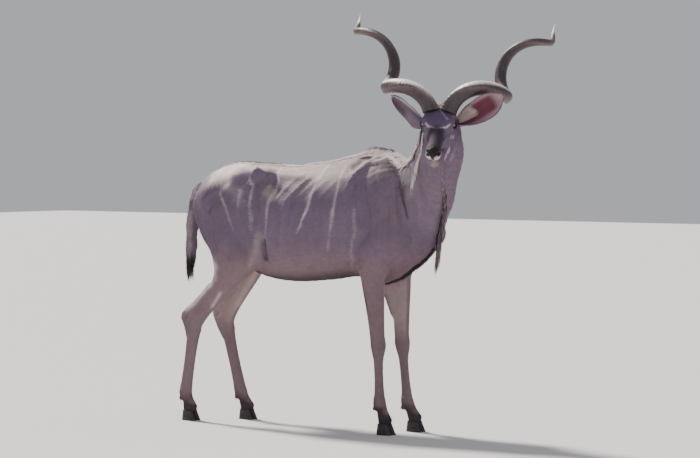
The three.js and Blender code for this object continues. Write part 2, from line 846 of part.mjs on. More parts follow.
function addFlesh() {
  const limbs = bodyLimbs();
  const distance = (point, pad) => fleshDistance(limbs, point, pad);
  const whole = fleshSolid(distance, [-1560, -520, -60], [660, 460, 1760], GRID_STEP);
  const thinned = FLESH_TOLERANCES.reduce((solid, tolerance) => solid.simplify(tolerance), largest(whole));
  const body = thinned.trimByPlane([0, 0, 1], CORONET);

  const [head, headless] = parted(body, [HEAD_PLANE]);
  const [neck, trunkAndLegs] = parted(headless, [NECK_PLANE]);
  const [tail, noTail] = parted(trunkAndLegs, TAIL_PLANES);
  let trunk = noTail;

  const legs = [];
  for (const [name, side] of [["right", -1], ["left", 1]]) {
    const [fore, afterFore] = parted(trunk, forelegPlanes(side));
    const [hind, afterHind] = parted(afterFore, hindLegPlanes(side));
    trunk = afterHind;
    const knee = { normal: [0, 0, 1], through: FORELEGS[name].knee.map((v, n) => v - (n === 2 ? 35 : 0)) };
    const hockJoint = HIND_LEGS[name].hock;
    const hock = { normal: [0.45, 0, 1], through: hockJoint.map((v, n) => v - (n === 2 ? 55 : 0)) };
    legs.push([name + "_foreleg", parted(fore, [knee])]);
    legs.push([name + "_hindleg", parted(hind, [hock])]);
  }
  addPiece("head", geometryOf(withSockets(largest(head))), DARK_COAT);
  addPiece("neck", geometryOf(largest(neck)), COAT);
  addPiece("trunk", geometryOf(largest(trunk)), COAT);
  addPiece("tail", geometryOf(largest(tail)), COAT);
  for (const [name, [upper, lower]] of legs) {
    addPiece(name + "_upper", geometryOf(largest(upper)), COAT);
    addPiece(name + "_lower", geometryOf(largest(lower)), LEG_COAT);
  }
}

// The head with room for the roots of horns and ears, and for the eyes
function withSockets(head) {
  let solid = head;
  for (const [name, side] of [["right", -1], ["left", 1]]) {
    solid = solid.subtract(solidOf(lofted(hornRings(side, HELIX[name], GAP), fanCap)));
    solid = solid.subtract(solidOf(lofted(earRings(side, EARS[name], GAP), stripCap)));
    solid = solid.subtract(solidOf(eyeball(side, GAP)));
    solid = solid.subtract(solidOf(eyeOpening(side)));
  }
  return solid;
}

function addPairs() {
  for (const [name, side] of [["right", -1], ["left", 1]]) {
    addPiece(name + "_horn", lofted(hornRings(side, HELIX[name], 0), fanCap), HORN_FINISH);
    addPiece(name + "_ear", lofted(earRings(side, EARS[name], 0), stripCap), COAT);
    addPiece(name + "_eye", geometryOf(solidOf(eyeball(side, 0))), EYE_FINISH);
    for (const [which, leg] of [["fore", FORELEGS[name]], ["hind", HIND_LEGS[name]]]) {
      for (const [claw, inOrOut] of [["inner", -side], ["outer", side]]) {
        addPiece(`${name}_${which}_hoof_${claw}`, clawGeometry(leg.coronet, inOrOut), HOOF_FINISH);
      }
    }
  }
}

addFlesh();
addPairs();

export default kudu;
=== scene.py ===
# Looks of a life-size greater kudu bull, standing with its head turned to its right.
# Metres. +X is forward, +Y the animal's left, +Z up. Shapes are made in the body's own frame,
# whose zero is under the withers, and SHIFT takes them to the frame of the solids.

import math

import bpy
import numpy as np
from mathutils import Matrix, Vector


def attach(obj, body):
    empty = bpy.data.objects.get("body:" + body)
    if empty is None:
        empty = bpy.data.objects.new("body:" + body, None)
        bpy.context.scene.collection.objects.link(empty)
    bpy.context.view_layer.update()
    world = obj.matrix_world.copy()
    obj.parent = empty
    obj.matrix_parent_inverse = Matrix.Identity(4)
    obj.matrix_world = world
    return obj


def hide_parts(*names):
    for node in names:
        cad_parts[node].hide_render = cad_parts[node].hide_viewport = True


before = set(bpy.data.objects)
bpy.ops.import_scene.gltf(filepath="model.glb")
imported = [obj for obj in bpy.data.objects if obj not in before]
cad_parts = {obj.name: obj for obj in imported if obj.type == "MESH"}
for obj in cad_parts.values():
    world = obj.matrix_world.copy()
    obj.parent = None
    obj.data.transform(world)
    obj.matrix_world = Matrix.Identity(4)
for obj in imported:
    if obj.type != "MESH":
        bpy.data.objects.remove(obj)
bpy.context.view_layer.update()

SHIFT = np.array([0.3455, -0.1773, 0.0])
RNG = np.random.default_rng(11)
UP = np.array([0.0, 0.0, 1.0])


# Small helpers


def smoothstep(low, high, x):
    t = np.clip((x - low) / (high - low), 0, 1)
    return t * t * (3 - 2 * t)


def bell(distance, width):
    return np.exp(-((distance / width) ** 2))


def unit(v):
    v = np.asarray(v, float)
    return v / (np.linalg.norm(v, axis=-1, keepdims=True) + 1e-12)


def lin(r, g, b):
    c = np.array([r, g, b]) / 255
    return np.where(c < 0.04045, c / 12.92, ((c + 0.055) / 1.055) ** 2.4)


def mix(a, b, t):
    t = np.asarray(t)[..., None]
    return a * (1 - t) + b * t


def noise(points, size, seed=0):
    q = points / size + seed * 7.31
    cell = np.floor(q).astype(np.int64)
    f = q - cell
    f = f * f * (3 - 2 * f)
    out = np.zeros(len(points))
    for n in range(8):
        o = np.array([n >> 2, (n >> 1) & 1, n & 1])
        c = cell + o
        h = (c[:, 0] * 73856093) ^ (c[:, 1] * 19349663) ^ (c[:, 2] * 83492791) ^ (seed * 2654435)
        h = (h * 2246822519 + 374761393) & 0xFFFFFFFF
        h = ((h ^ (h >> 15)) * 2654435761) & 0xFFFFFFFF
        w = np.prod(np.where(o == 1, f, 1 - f), axis=1)
        out += w * (h / 2**31 - 1)
    return out


# The head's frames: a level one for horns and ears, and one along the face

EYE_LINE = np.array([0.381, -0.150, 1.536])
TURN, SLOPE, TILT = math.radians(-59), math.radians(-30), math.radians(3)


def head_frames():
    forward = np.array([math.cos(TURN), math.sin(TURN), 0])
    flat = np.array([-math.sin(TURN), math.cos(TURN), 0])
    left = math.cos(TILT) * flat - math.sin(TILT) * UP
    up = np.cross(forward, left)
    face_forward = math.cos(SLOPE) * forward + math.sin(SLOPE) * up
    face_up = np.cross(face_forward, left)
    return (forward, left, up), (face_forward, left, face_up)


LEVEL, FACE = head_frames()


def in_frame(axes, p):
    p = np.asarray(p, float)
    return EYE_LINE + p[..., 0:1] * axes[0] + p[..., 1:2] * axes[1] + p[..., 2:3] * axes[2]


def to_frame(axes, p):
    return (p - EYE_LINE) @ np.array(axes).T


# A limb is a chain of oval sections: x y z, half width, height above, depth below, turn in degrees


def smoothed(rows, per):
    rows = np.asarray(rows, float)
    ext = np.vstack([2 * rows[0] - rows[1], rows, 2 * rows[-1] - rows[-2]])
    out = []
    for i in range(1, len(ext) - 2):
        a, b, c, d = ext[i - 1], ext[i], ext[i + 1], ext[i + 2]
        for k in range(per):
            t = k / per
            out.append(b + 0.5 * t * (c - a + t * (2 * a - 5 * b + 4 * c - d + t * (3 * (b - c) + d - a))))
    out.append(ext[-2])
    return np.array(out)


class Limb:
    def __init__(self, rows, blend=0.05, per=3, axes=None, lie=-1):
        rows = smoothed([list(r) + [0.0] * (7 - len(r)) for r in rows], per)
        self.blend, self.lie = blend, lie
        self.radii = np.maximum(rows[:, 3:6], 0.002)
        turn = np.radians(rows[:, 6])
        self.centres = rows[:, :3]
        self.sides = np.stack([-np.sin(turn), np.cos(turn), 0 * turn], 1)
        if axes is not None:
            self.centres = in_frame(axes, self.centres)
            self.sides = np.repeat(axes[1][None], len(rows), 0)
        big = self.radii.max(1)[:, None]
        self.low, self.high = (self.centres - big).min(0), (self.centres + big).max(0)

    def near(self, points, pad):
        return np.all((points > self.low - pad) & (points < self.high + pad), 1)

    def distance(self, points, pad, way=None):
        best = np.full(len(points), 9.0)
        for i in range(len(self.centres) - 1):
            start, step = self.centres[i], self.centres[i + 1] - self.centres[i]
            length = np.linalg.norm(step)
            reach = max(self.radii[i].max(), self.radii[i + 1].max()) + pad
            off = points - start
            near = np.all((off > np.minimum(0, step) - reach) & (off < np.maximum(0, step) + reach), 1)
            if not near.any():
                continue
            off = off[near]
            along = step / length
            side = self.sides[i] + self.sides[i + 1]
            side = unit(side - (side @ along) * along)
            up = np.cross(along, side)
            t = np.clip(off @ along / length, 0, 1)
            radii = self.radii[i] * (1 - t)[:, None] + self.radii[i + 1] * t[:, None]
            off = off - (t * length)[:, None] * along
            s, u, a = off @ side, off @ up, off @ along
            rs, re = radii[:, 0], radii.min(1)
            ru = np.where(u > 0, radii[:, 1], radii[:, 2])
            k0 = np.sqrt((s / rs) ** 2 + (u / ru) ** 2 + (a / re) ** 2)
            k1 = np.sqrt((s / rs**2) ** 2 + (u / ru**2) ** 2 + (a / re**2) ** 2)
            d = np.where(k0 < 1e-3, -re, k0 * (k0 - 1) / np.maximum(k1, 1e-9))
            if way is not None:
                closer = d < best[near]
                rows = np.flatnonzero(near)[closer]
                way[rows] = along * self.lie
            best[near] = np.minimum(best[near], d)
        return best


def smooth_min(a, b, k):
    h = np.clip(0.5 + 0.5 * (b - a) / k, 0, 1)
    return b * (1 - h) + a * h - k * h * (1 - h)


# Stations of the body

TRUNK = [
    (-1.195, 0, 1.135, 0.088, 0.11, 0.09),
    (-1.12, 0, 1.12, 0.14, 0.182, 0.15),
    (-1.0, 0, 1.12, 0.17, 0.222, 0.20),
    (-0.88, 0, 1.10, 0.19, 0.245, 0.28),
    (-0.76, 0, 1.07, 0.215, 0.268, 0.315),
    (-0.60, 0, 1.05, 0.232, 0.283, 0.315),
    (-0.40, 0, 1.05, 0.225, 0.285, 0.30),
    (-0.22, 0, 1.06, 0.205, 0.30, 0.290),
    (-0.08, 0, 1.07, 0.180, 0.31, 0.335),
    (0.05, 0, 1.05, 0.160, 0.26, 0.29),
    (0.145, 0, 1.02, 0.130, 0.17, 0.20),
    (0.20, 0, 1.00, 0.085, 0.12, 0.108),
]
WITHERS = [
    (-0.50, 0, 1.25, 0.06, 0.075, 0.08),
    (-0.34, 0, 1.27, 0.06, 0.085, 0.08),
    (-0.20, 0, 1.29, 0.055, 0.098, 0.08),
    (-0.08, 0, 1.31, 0.05, 0.108, 0.08),
    (0.02, 0, 1.27, 0.045, 0.10, 0.08),
    (0.09, 0, 1.22, 0.045, 0.09, 0.08),
]
NECK = [
    (0.02, 0, 1.10, 0.125, 0.20, 0.18, 0),
    (0.13, 0, 1.15, 0.125, 0.185, 0.185, -3),
    (0.20, -0.005, 1.22, 0.120, 0.16, 0.185, -12),
    (0.26, -0.02, 1.30, 0.116, 0.135, 0.165, -28),
    (0.303, -0.029, 1.38, 0.116, 0.125, 0.145, -42),
    (0.324, -0.043, 1.46, 0.106, 0.115, 0.12, -52),
    (0.331, -0.055, 1.53, 0.088, 0.09, 0.10, -57),
]
TAIL = [
    (-1.18, 0, 1.235, 0.03, 0.03, 0.03),
    (-1.25, 0, 1.20, 0.030, 0.026, 0.028),
    (-1.290, 0, 1.12, 0.028, 0.018, 0.020),
    (-1.315, 0, 1.02, 0.025, 0.015, 0.017),
    (-1.325, 0, 0.92, 0.020, 0.012, 0.014),
    (-1.330, 0, 0.85, 0.012, 0.008, 0.009),
    (-1.334, 0, 0.80, 0.007, 0.005, 0.005),
]
SHOULDER_BLADE = [
    (-0.005, 0.080, 1.335, 0.032, 0.045, 0.045),
    (0.02, 0.115, 1.25, 0.05, 0.085, 0.085),
    (0.075, 0.135, 1.12, 0.065, 0.10, 0.11),
    (0.115, 0.142, 1.0, 0.066, 0.085, 0.10),
]
UPPER_ARM = [
    (0.115, 0.142, 1.0, 0.062, 0.085, 0.09),
    (0.035, 0.148, 0.93, 0.065, 0.09, 0.11),
    (-0.045, 0.14, 0.86, 0.058, 0.075, 0.085),
]
POINT_OF_HIP = [
    (-0.90, 0.10, 1.27, 0.05, 0.05, 0.05),
    (-0.75, 0.135, 1.285, 0.04, 0.035, 0.035),
    (-0.70, 0.125, 1.285, 0.035, 0.03, 0.03),
]
SKULL = [
    (-0.125, 0, -0.03, 0.058, 0.06, 0.06),
    (-0.08, 0, -0.02, 0.068, 0.074, 0.075),
    (-0.03, 0, -0.018, 0.070, 0.078, 0.085),
    (0.03, 0, -0.016, 0.060, 0.072, 0.078),
    (0.09, 0, -0.014, 0.048, 0.061, 0.058),
    (0.15, 0, -0.012, 0.041, 0.051, 0.048),
    (0.20, 0, -0.012, 0.038, 0.044, 0.040),
    (0.24, 0, -0.013, 0.042, 0.037, 0.034),
    (0.264, 0, -0.016, 0.038, 0.028, 0.026),
]
JAW = [
    (-0.07, 0, -0.078, 0.045, 0.04, 0.035),
    (0, 0, -0.074, 0.040, 0.04, 0.03),
    (0.08, 0, -0.060, 0.030, 0.03, 0.022),
    (0.16, 0, -0.050, 0.024, 0.025, 0.016),
    (0.232, 0, -0.047, 0.026, 0.02, 0.015),
]
BROW = [
    (-0.05, 0.050, 0.012, 0.030, 0.034, 0.03),
    (-0.005, 0.054, 0.014, 0.030, 0.032, 0.03),
    (0.035, 0.044, 0.008, 0.022, 0.026, 0.025),
]
CHEEK = [
    (-0.07, 0.040, -0.06, 0.03, 0.05, 0.045),
    (-0.01, 0.040, -0.062, 0.03, 0.045, 0.038),
    (0.06, 0.034, -0.052, 0.022, 0.03, 0.026),
]
EAR_ROOT = {
    -1: [(-0.060, 0.042, -0.016, 0.028, 0.028, 0.028), (-0.084, 0.062, 0.000, 0.024, 0.024, 0.024)],
    1: [(-0.062, 0.042, -0.016, 0.028, 0.028, 0.028), (-0.096, 0.062, 0.001, 0.024, 0.024, 0.024)],
}
NOSTRIL = [
    (0.281, 0.012, -0.012, 0.005, 0.004, 0.004),
    (0.274, 0.021, -0.005, 0.006, 0.005, 0.005),
    (0.262, 0.031, -0.001, 0.006, 0.005, 0.005),
    (0.250, 0.039, -0.004, 0.004, 0.003, 0.003),
]

FORE_SECTIONS = [
    (0, 0, 0.056, 0.072, 0.078),
    (0, 0.3, 0.050, 0.060, 0.060),
    (0, 0.62, 0.041, 0.047, 0.045),
    (0, 0.88, 0.037, 0.039, 0.039),
    (1, 0, 0.039, 0.042, 0.038),
    (1, 0.12, 0.034, 0.036, 0.034),
    (1, 0.3, 0.024, 0.025, 0.028),
    (1, 0.6, 0.0215, 0.023, 0.027),
    (1, 0.85, 0.025, 0.026, 0.030),
    (2, 0, 0.030, 0.032, 0.038),
    (2, 0.5, 0.028, 0.028, 0.030),
    (2, 1, 0.035, 0.036, 0.036),
]
HIND_SECTIONS = [
    (0, 0, 0.070, 0.075, 0.10),
    (0, 0.2, 0.066, 0.072, 0.085),
    (0, 0.4, 0.056, 0.062, 0.062),
    (0, 0.62, 0.044, 0.050, 0.054),
    (0, 0.82, 0.037, 0.043, 0.048),
    (0, 1.0, 0.038, 0.048, 0.044),
    (1, 0.12, 0.036, 0.038, 0.046),
    (1, 0.27, 0.029, 0.031, 0.042),
    (1, 0.55, 0.025, 0.028, 0.038),
    (1, 0.85, 0.027, 0.030, 0.038),
    (2, 0, 0.032, 0.034, 0.040),
    (2, 0.5, 0.029, 0.030, 0.031),
    (2, 1, 0.036, 0.038, 0.037),
]
FORELEGS = {
    -1: [(-0.045, -0.125, 0.84), (-0.013, -0.115, 0.445), (-0.001, -0.115, 0.160), (0.030, -0.115, 0.072)],
    1: [(-0.060, 0.125, 0.84), (-0.031, 0.11, 0.445), (0.004, 0.11, 0.150), (0.048, 0.11, 0.070)],
}
HIND_LEGS = {
    -1: [(-0.84, -0.150, 0.86), (-1.190, -0.125, 0.525), (-1.262, -0.12, 0.145), (-1.235, -0.12, 0.070)],
    1: [(-1.01, 0.155, 0.86), (-1.185, 0.115, 0.520), (-1.080, 0.11, 0.145), (-1.040, 0.11, 0.070)],
}
HIPS = {-1: (-1.02, -0.095, 1.13), 1: (-1.06, 0.095, 1.13)}
HEELS = {-1: (-1.262, -0.122, 0.552), 1: (-1.250, 0.115, 0.560)}

EYE_AT = {s: in_frame(FACE, [0.0, 0.062 * s, 0.006]) for s in (-1, 1)}
EYE_R = 0.0205
LID = 0.0042
OPENING = (1.0, 0.62)


def on_side(rows, s):
    return [(r[0], r[1] * s, *r[2:]) for r in rows]


def along_bones(joints, sections):
    joints = np.array(joints)
    return [(*(joints[b] + (joints[b + 1] - joints[b]) * t), w, f, k) for b, t, w, f, k in sections]


ELBOW = [(-0.115, 0.112, 0.80, 0.042, 0.050, 0.055), (-0.100, 0.110, 0.70, 0.034, 0.04, 0.046),
         (-0.072, 0.110, 0.61, 0.026, 0.030, 0.030)]


def dewclaw_limbs(leg):
    x, y, z = leg[2]
    limbs = []
    for s in (-1, 1):
        rows = [(x - 0.014, y + 0.016 * s, z - 0.018, 0.012, 0.013, 0.013)]
        rows += [(x - 0.021, y + 0.017 * s, z - 0.029, 0.011, 0.011, 0.011)]
        limbs.append(Limb(rows, 0.008, 2, lie=1))
    return limbs


def hind_limbs(s):
    stifle, hock, fetlock = (np.array(p) for p in HIND_LEGS[s][:3])
    hip, heel = np.array(HIPS[s]), np.array(HEELS[s])
    upper, middle = hip * 0.75 + stifle * 0.25, (hip + stifle) / 2
    thigh = [
        (hip[0] - 0.01, hip[1], hip[2] + 0.06, 0.075, 0.11, 0.12),
        (upper[0], upper[1], upper[2] + 0.02, 0.085, 0.15, 0.15),
        (middle[0], middle[1] + 0.01 * s, middle[2] - 0.03, 0.083, 0.135, 0.135),
        (stifle[0], stifle[1] * 0.97, stifle[2] + 0.02, 0.074, 0.10, 0.10),
    ]
    calf = stifle * 0.62 + hock * 0.38
    buttock = [
        (-1.180, 0.065 * s, 1.13, 0.045, 0.05, 0.05),
        (-1.130, 0.09 * s, 1.01, 0.055, 0.07, 0.06),
        (hip[0] * 0.35 + calf[0] * 0.65 - 0.042, 0.11 * s, 0.88, 0.055, 0.07, 0.06),
        (calf[0] - 0.020, calf[1], calf[2] + 0.005, 0.036, 0.042, 0.042),
    ]
    shin = unit((hock - stifle) * [1, 0, 1])
    behind = np.array([shin[2], 0, -shin[0]])
    cannon = unit((fetlock - hock) * [1, 0, 1])
    back = np.array([cannon[2], 0, -cannon[0]])
    top = stifle + (hock - stifle) * 0.58 + behind * 0.030
    low = hock + (fetlock - hock) * 0.16 + back * 0.022
    tendon = [
        (*top, 0.032, 0.034, 0.034),
        (*(top * 0.45 + heel * 0.55 - behind * 0.004), 0.022, 0.028, 0.030),
        (*heel, 0.020, 0.022, 0.022),
        (*((heel + low) / 2 + back * 0.008), 0.023, 0.024, 0.025),
        (*low, 0.022, 0.022, 0.022),
    ]
    return [
        Limb(thigh, 0.05, lie=1),
        Limb(buttock, 0.05, lie=1),
        Limb(along_bones(HIND_LEGS[s], HIND_SECTIONS), 0.045, 2, lie=1),
        Limb(tendon, 0.035, lie=1),
        *dewclaw_limbs(HIND_LEGS[s]),
    ]


def body_limbs():
    limbs = [Limb(TRUNK, 0.03, 4), Limb(WITHERS, 0.06), Limb(NECK, 0.06, 4)]
    for s in (-1, 1):
        limbs.append(Limb(on_side(SHOULDER_BLADE, s), lie=1))
        limbs.append(Limb(on_side(UPPER_ARM, s), lie=1))
        limbs.append(Limb(on_side(POINT_OF_HIP, s)))
        limbs.append(Limb(along_bones(FORELEGS[s], FORE_SECTIONS), 0.04, 2, lie=1))
        limbs += dewclaw_limbs(FORELEGS[s]) + hind_limbs(s)
        limbs.append(Limb(on_side(BROW, s), 0.02, axes=FACE))
        limbs.append(Limb(on_side(CHEEK, s), 0.03, axes=FACE))
        limbs.append(Limb(on_side(EAR_ROOT[s], s), 0.022, axes=LEVEL))
    limbs.append(Limb(ELBOW, 0.04, lie=1))
    limbs.append(Limb(SKULL, 0.03, axes=FACE))
    limbs.append(Limb(JAW, 0.03, axes=FACE))
    limbs.append(Limb(TAIL, 0.025, lie=1))
    return limbs


LIMBS = body_limbs()
NOSTRILS = [Limb(on_side(NOSTRIL, s), axes=FACE) for s in (-1, 1)]


def near_head(points):
    f = to_frame(FACE, points)
    t = np.clip(f[:, 0], -0.05, 0.27)
    d = np.linalg.norm(f - np.stack([t, 0 * t, 0 * t], 1), axis=1)
    return 1 - smoothstep(0.11, 0.18, d)


def coat_depth(points):
    body = smoothstep(0.55, 0.95, points[:, 2]) * (1 - near_head(points))
    return 0.0025 + 0.0040 * body


def eye_frame(s):
    out = unit(0.30 * FACE[0] + 0.94 * s * FACE[1] + 0.10 * FACE[2])
    along = unit(-FACE[0] + 0.20 * FACE[2] - out * np.dot(-FACE[0] + 0.20 * FACE[2], out))
    return out, along, np.cross(along, out) * s


def skin_distance(points, pad):
    value = np.full(len(points), 9.0)
    for limb in LIMBS:
        reach = pad + limb.blend
        near = limb.near(points, reach)
        if near.any():
            value[near] = smooth_min(value[near], limb.distance(points[near], reach), limb.blend)
    value = value + coat_depth(points)
    for s in (-1, 1):
        off = points - EYE_AT[s]
        near = np.linalg.norm(off, axis=1) < 0.06 + pad
        if near.any():
            value[near] = lids(value[near], off[near], s)
    for limb in NOSTRILS:
        near = limb.near(points, pad)
        if near.any():
            value[near] = -smooth_min(-value[near], limb.distance(points[near], pad), 0.006)
    return value


def lids(value, off, s):
    out, along, across = eye_frame(s)
    r = np.linalg.norm(off, axis=1)
    value = smooth_min(value, r - EYE_R - LID, 0.012)
    a = np.arctan2(off @ along, off @ out)
    b = np.arctan2(off @ across, off @ out)
    opening = EYE_R * (OPENING[1] * (1 - (a / OPENING[0]) ** 2) - np.abs(b))
    opening = np.where(off @ out > 0, opening, -0.02)
    return np.maximum(value, np.minimum(opening, r - EYE_R + 0.004))


# The skin: a surface net on a grid that is finer at the head and at the feet


def axis_nodes(low, high, spacing, multiple):
    nodes = [low]
    while nodes[-1] < high or (len(nodes) - 1) % multiple:
        nodes.append(nodes[-1] + spacing(nodes[-1]))
    return np.array(nodes)


def surface_net(distance, axes, levels=4):
    corner = np.array([[i, j, k] for i in (0, 1) for j in (0, 1) for k in (0, 1)])
    counts = np.array([len(a) - 1 for a in axes])

    def place(index):
        return np.stack([np.interp(index[:, n], np.arange(len(axes[n])), axes[n]) for n in range(3)], 1)

    cells = np.stack(np.meshgrid(*[np.arange(n) for n in counts >> levels], indexing="ij"), -1).reshape(-1, 3)
    for level in range(levels, -1, -1):
        step = 1 << level
        low, high = place(cells * step), place((cells + 1) * step)
        size = (high - low).max()
        value = distance((low + high) / 2, size * 1.2)
        cells = cells[np.abs(value) < (high - low).max(1) * (1.15 if level else 1.3)]
        if level:
            cells = (cells[:, None, :] * 2 + corner).reshape(-1, 3)
    span = counts + 1

    def key(c):
        return (c[..., 0] * span[1] + c[..., 1]) * span[2] + c[..., 2]

    keys = key(cells[:, None, :] + corner)
    names, inverse = np.unique(keys, return_inverse=True)
    inverse = inverse.reshape(keys.shape)
    nodes = np.stack([names // (span[1] * span[2]), names // span[2] % span[1], names % span[2]], 1)
    value = distance(place(nodes), 0.02)[inverse]
    mixed = (value.min(1) < 0) & (value.max(1) >= 0)
    cells, value = cells[mixed], value[mixed]
    total, count = np.zeros((len(cells), 3)), np.zeros(len(cells))
    for a in range(8):
        for b in (a | 4, a | 2, a | 1):
            if a == b:
                continue
            cut = (value[:, a] < 0) != (value[:, b] < 0)
            t = np.where(cut, value[:, a] / (value[:, a] - value[:, b] + 1e-20), 0)
            total += np.where(cut[:, None], corner[a] + (corner[b] - corner[a]) * t[:, None], 0)
            count += cut
    verts = place(cells + total / count[:, None])
    ids = key(cells)
    order = np.argsort(ids)
    ordered = ids[order]

    def find(k):
        i = np.clip(np.searchsorted(ordered, k), 0, len(ordered) - 1)
        return np.where(ordered[i] == k, order[i], -1)

    quads = []
    for axis, far in ((0, 4), (1, 2), (2, 1)):
        cut = (value[:, 0] < 0) != (value[:, far] < 0)
        c, inside = cells[cut], value[cut, 0] < 0
        o1, o2 = np.eye(3, dtype=int)[(axis + 1) % 3], np.eye(3, dtype=int)[(axis + 2) % 3]
        quad = np.stack([find(key(c)), find(key(c - o1)), find(key(c - o1 - o2)), find(key(c - o2))], 1)
        good = (quad >= 0).all(1)
        quad, inside = quad[good], inside[good]
        quad[~inside] = quad[~inside][:, ::-1]
        quads.append(quad)
    return verts, np.vstack(quads)


def neighbour_mean(verts, edges, count):
    out = np.empty_like(verts)
    for n in range(3):
        total = np.bincount(edges[:, 0], verts[edges[:, 1], n], len(verts))
        total += np.bincount(edges[:, 1], verts[edges[:, 0], n], len(verts))
        out[:, n] = total / count
    return out


def relax(verts, quads, strength, rounds):
    edges = np.vstack([quads[:, [0, 1]], quads[:, [1, 2]], quads[:, [2, 3]], quads[:, [3, 0]]])
    edges = np.unique(np.sort(edges, 1), axis=0)
    count = np.bincount(edges.ravel(), minlength=len(verts)).astype(float)
    for _ in range(rounds):
        for push in (0.6, -0.62):
            verts = verts + push * strength[:, None] * (neighbour_mean(verts, edges, count) - verts)
    return verts


def vertex_normals(verts, faces):
    a, b, c = verts[faces[:, 0]], verts[faces[:, 1]], verts[faces[:, 2]]
    if faces.shape[1] == 4:
        face = np.cross(c - a, verts[faces[:, 3]] - b)
    else:
        face = np.cross(b - a, c - a)
    out = np.zeros_like(verts)
    for n in range(faces.shape[1]):
        for k in range(3):
            out[:, k] += np.bincount(faces[:, n], face[:, k], len(verts))
    return unit(out)


def path_distance(points, path):
    best = np.full(len(points), 9.0)
    share = np.zeros(len(points))
    path = np.asarray(path, float)
    for i in range(len(path) - 1):
        step = path[i + 1] - path[i]
        t = np.clip((points - path[i]) @ step / (step @ step), 0, 1)
        d = np.linalg.norm(points - path[i] - t[:, None] * step, axis=1)
        closer = d < best
        best[closer] = d[closer]
        share[closer] = (i + t[closer]) / (len(path) - 1)
    return best, share


# Folds, bones and veins: each a path, its width and its height. Side paths are x and z, seen from the side.

SIDE_FOLDS = [
    ([(-0.165, 1.21), (-0.135, 1.29), (-0.075, 1.355), (-0.015, 1.375)], 0.018, 0.014),
    ([(-0.19, 1.30), (-0.14, 1.36), (-0.08, 1.40)], 0.024, -0.010),
    ([(0.00, 1.33), (0.03, 1.22), (0.085, 1.08), (0.125, 1.00)], 0.022, 0.006),
    ([(0.125, 1.25), (0.145, 1.17), (0.172, 1.06)], 0.012, -0.014),
    ([(0.095, 1.24), (0.115, 1.13), (0.125, 1.00)], 0.012, -0.007),
    ([(-0.085, 1.28), (-0.05, 1.14), (-0.03, 1.02), (-0.10, 0.93)], 0.028, -0.008),
    ([(-0.725, 1.315), (-0.750, 1.285), (-0.79, 1.235), (-0.81, 1.19)], 0.016, 0.022),
    ([(-0.690, 1.265), (-0.655, 1.235), (-0.61, 1.21), (-0.58, 1.19)], 0.040, -0.020),
    ([(-0.69, 1.24), (-0.72, 1.14), (-0.73, 1.02)], 0.035, -0.013),
    ([(-0.70, 1.30), (-0.60, 1.285), (-0.50, 1.28), (-0.42, 1.285)], 0.022, 0.010),
    ([(-0.93, 1.27), (-1.02, 1.20), (-1.10, 1.10)], 0.035, -0.007),
    ([(-0.660, 0.965), (-0.665, 0.92), (-0.670, 0.87), (-0.664, 0.84)], 0.011, -0.015),
    ([(-0.715, 0.97), (-0.735, 0.89), (-0.77, 0.79)], 0.026, 0.008),
    ([(-0.62, 0.86), (-0.70, 0.80), (-0.76, 0.77)], 0.030, 0.007),
    ([(-1.10, 1.12), (-1.11, 0.98), (-1.09, 0.86), (-1.10, 0.76)], 0.020, -0.007),
    ([(-0.16, 0.83), (-0.10, 0.88), (-0.02, 0.87)], 0.018, -0.008),
]
RIBS = [(-0.235, 0.0015), (-0.30, 0.002), (-0.365, 0.003), (-0.425, 0.009), (-0.50, 0.003)]

FACE_FOLDS = [
    ([(0.285, 0.004, -0.037), (0.270, 0.024, -0.036), (0.235, 0.036, -0.031), (0.19, 0.038, -0.028),
      (0.155, 0.041, -0.026)], 0.0042, -0.0050),
    ([(0.287, 0.0, -0.020), (0.285, 0.0, -0.036)], 0.003, -0.003),
    ([(0.15, 0.036, -0.004), (0.09, 0.048, -0.022), (0.02, 0.062, -0.042), (-0.04, 0.068, -0.050)],
     0.010, 0.0040),
    ([(0.030, 0.072, -0.004), (0.060, 0.052, -0.008), (0.085, 0.046, -0.012)], 0.009, -0.0022),
    ([(0.12, 0.040, 0.010), (0.17, 0.036, 0.006), (0.22, 0.036, -0.002)], 0.011, -0.0030),
    ([(0.04, 0.030, 0.056), (0.12, 0.024, 0.046), (0.20, 0.020, 0.034)], 0.010, 0.0022),
    ([(-0.03, 0.064, 0.046), (0.005, 0.064, 0.040), (0.03, 0.050, 0.034)], 0.012, 0.0040),
    ([(-0.02, 0.075, -0.02), (-0.05, 0.072, -0.03), (-0.09, 0.065, -0.07)], 0.014, -0.0040),
    ([(-0.06, 0.050, -0.105), (0.02, 0.044, -0.100), (0.09, 0.032, -0.080)], 0.012, 0.0030),
    ([(0.0, 0.0, 0.062), (0.08, 0.0, 0.052)], 0.012, -0.0020),
]


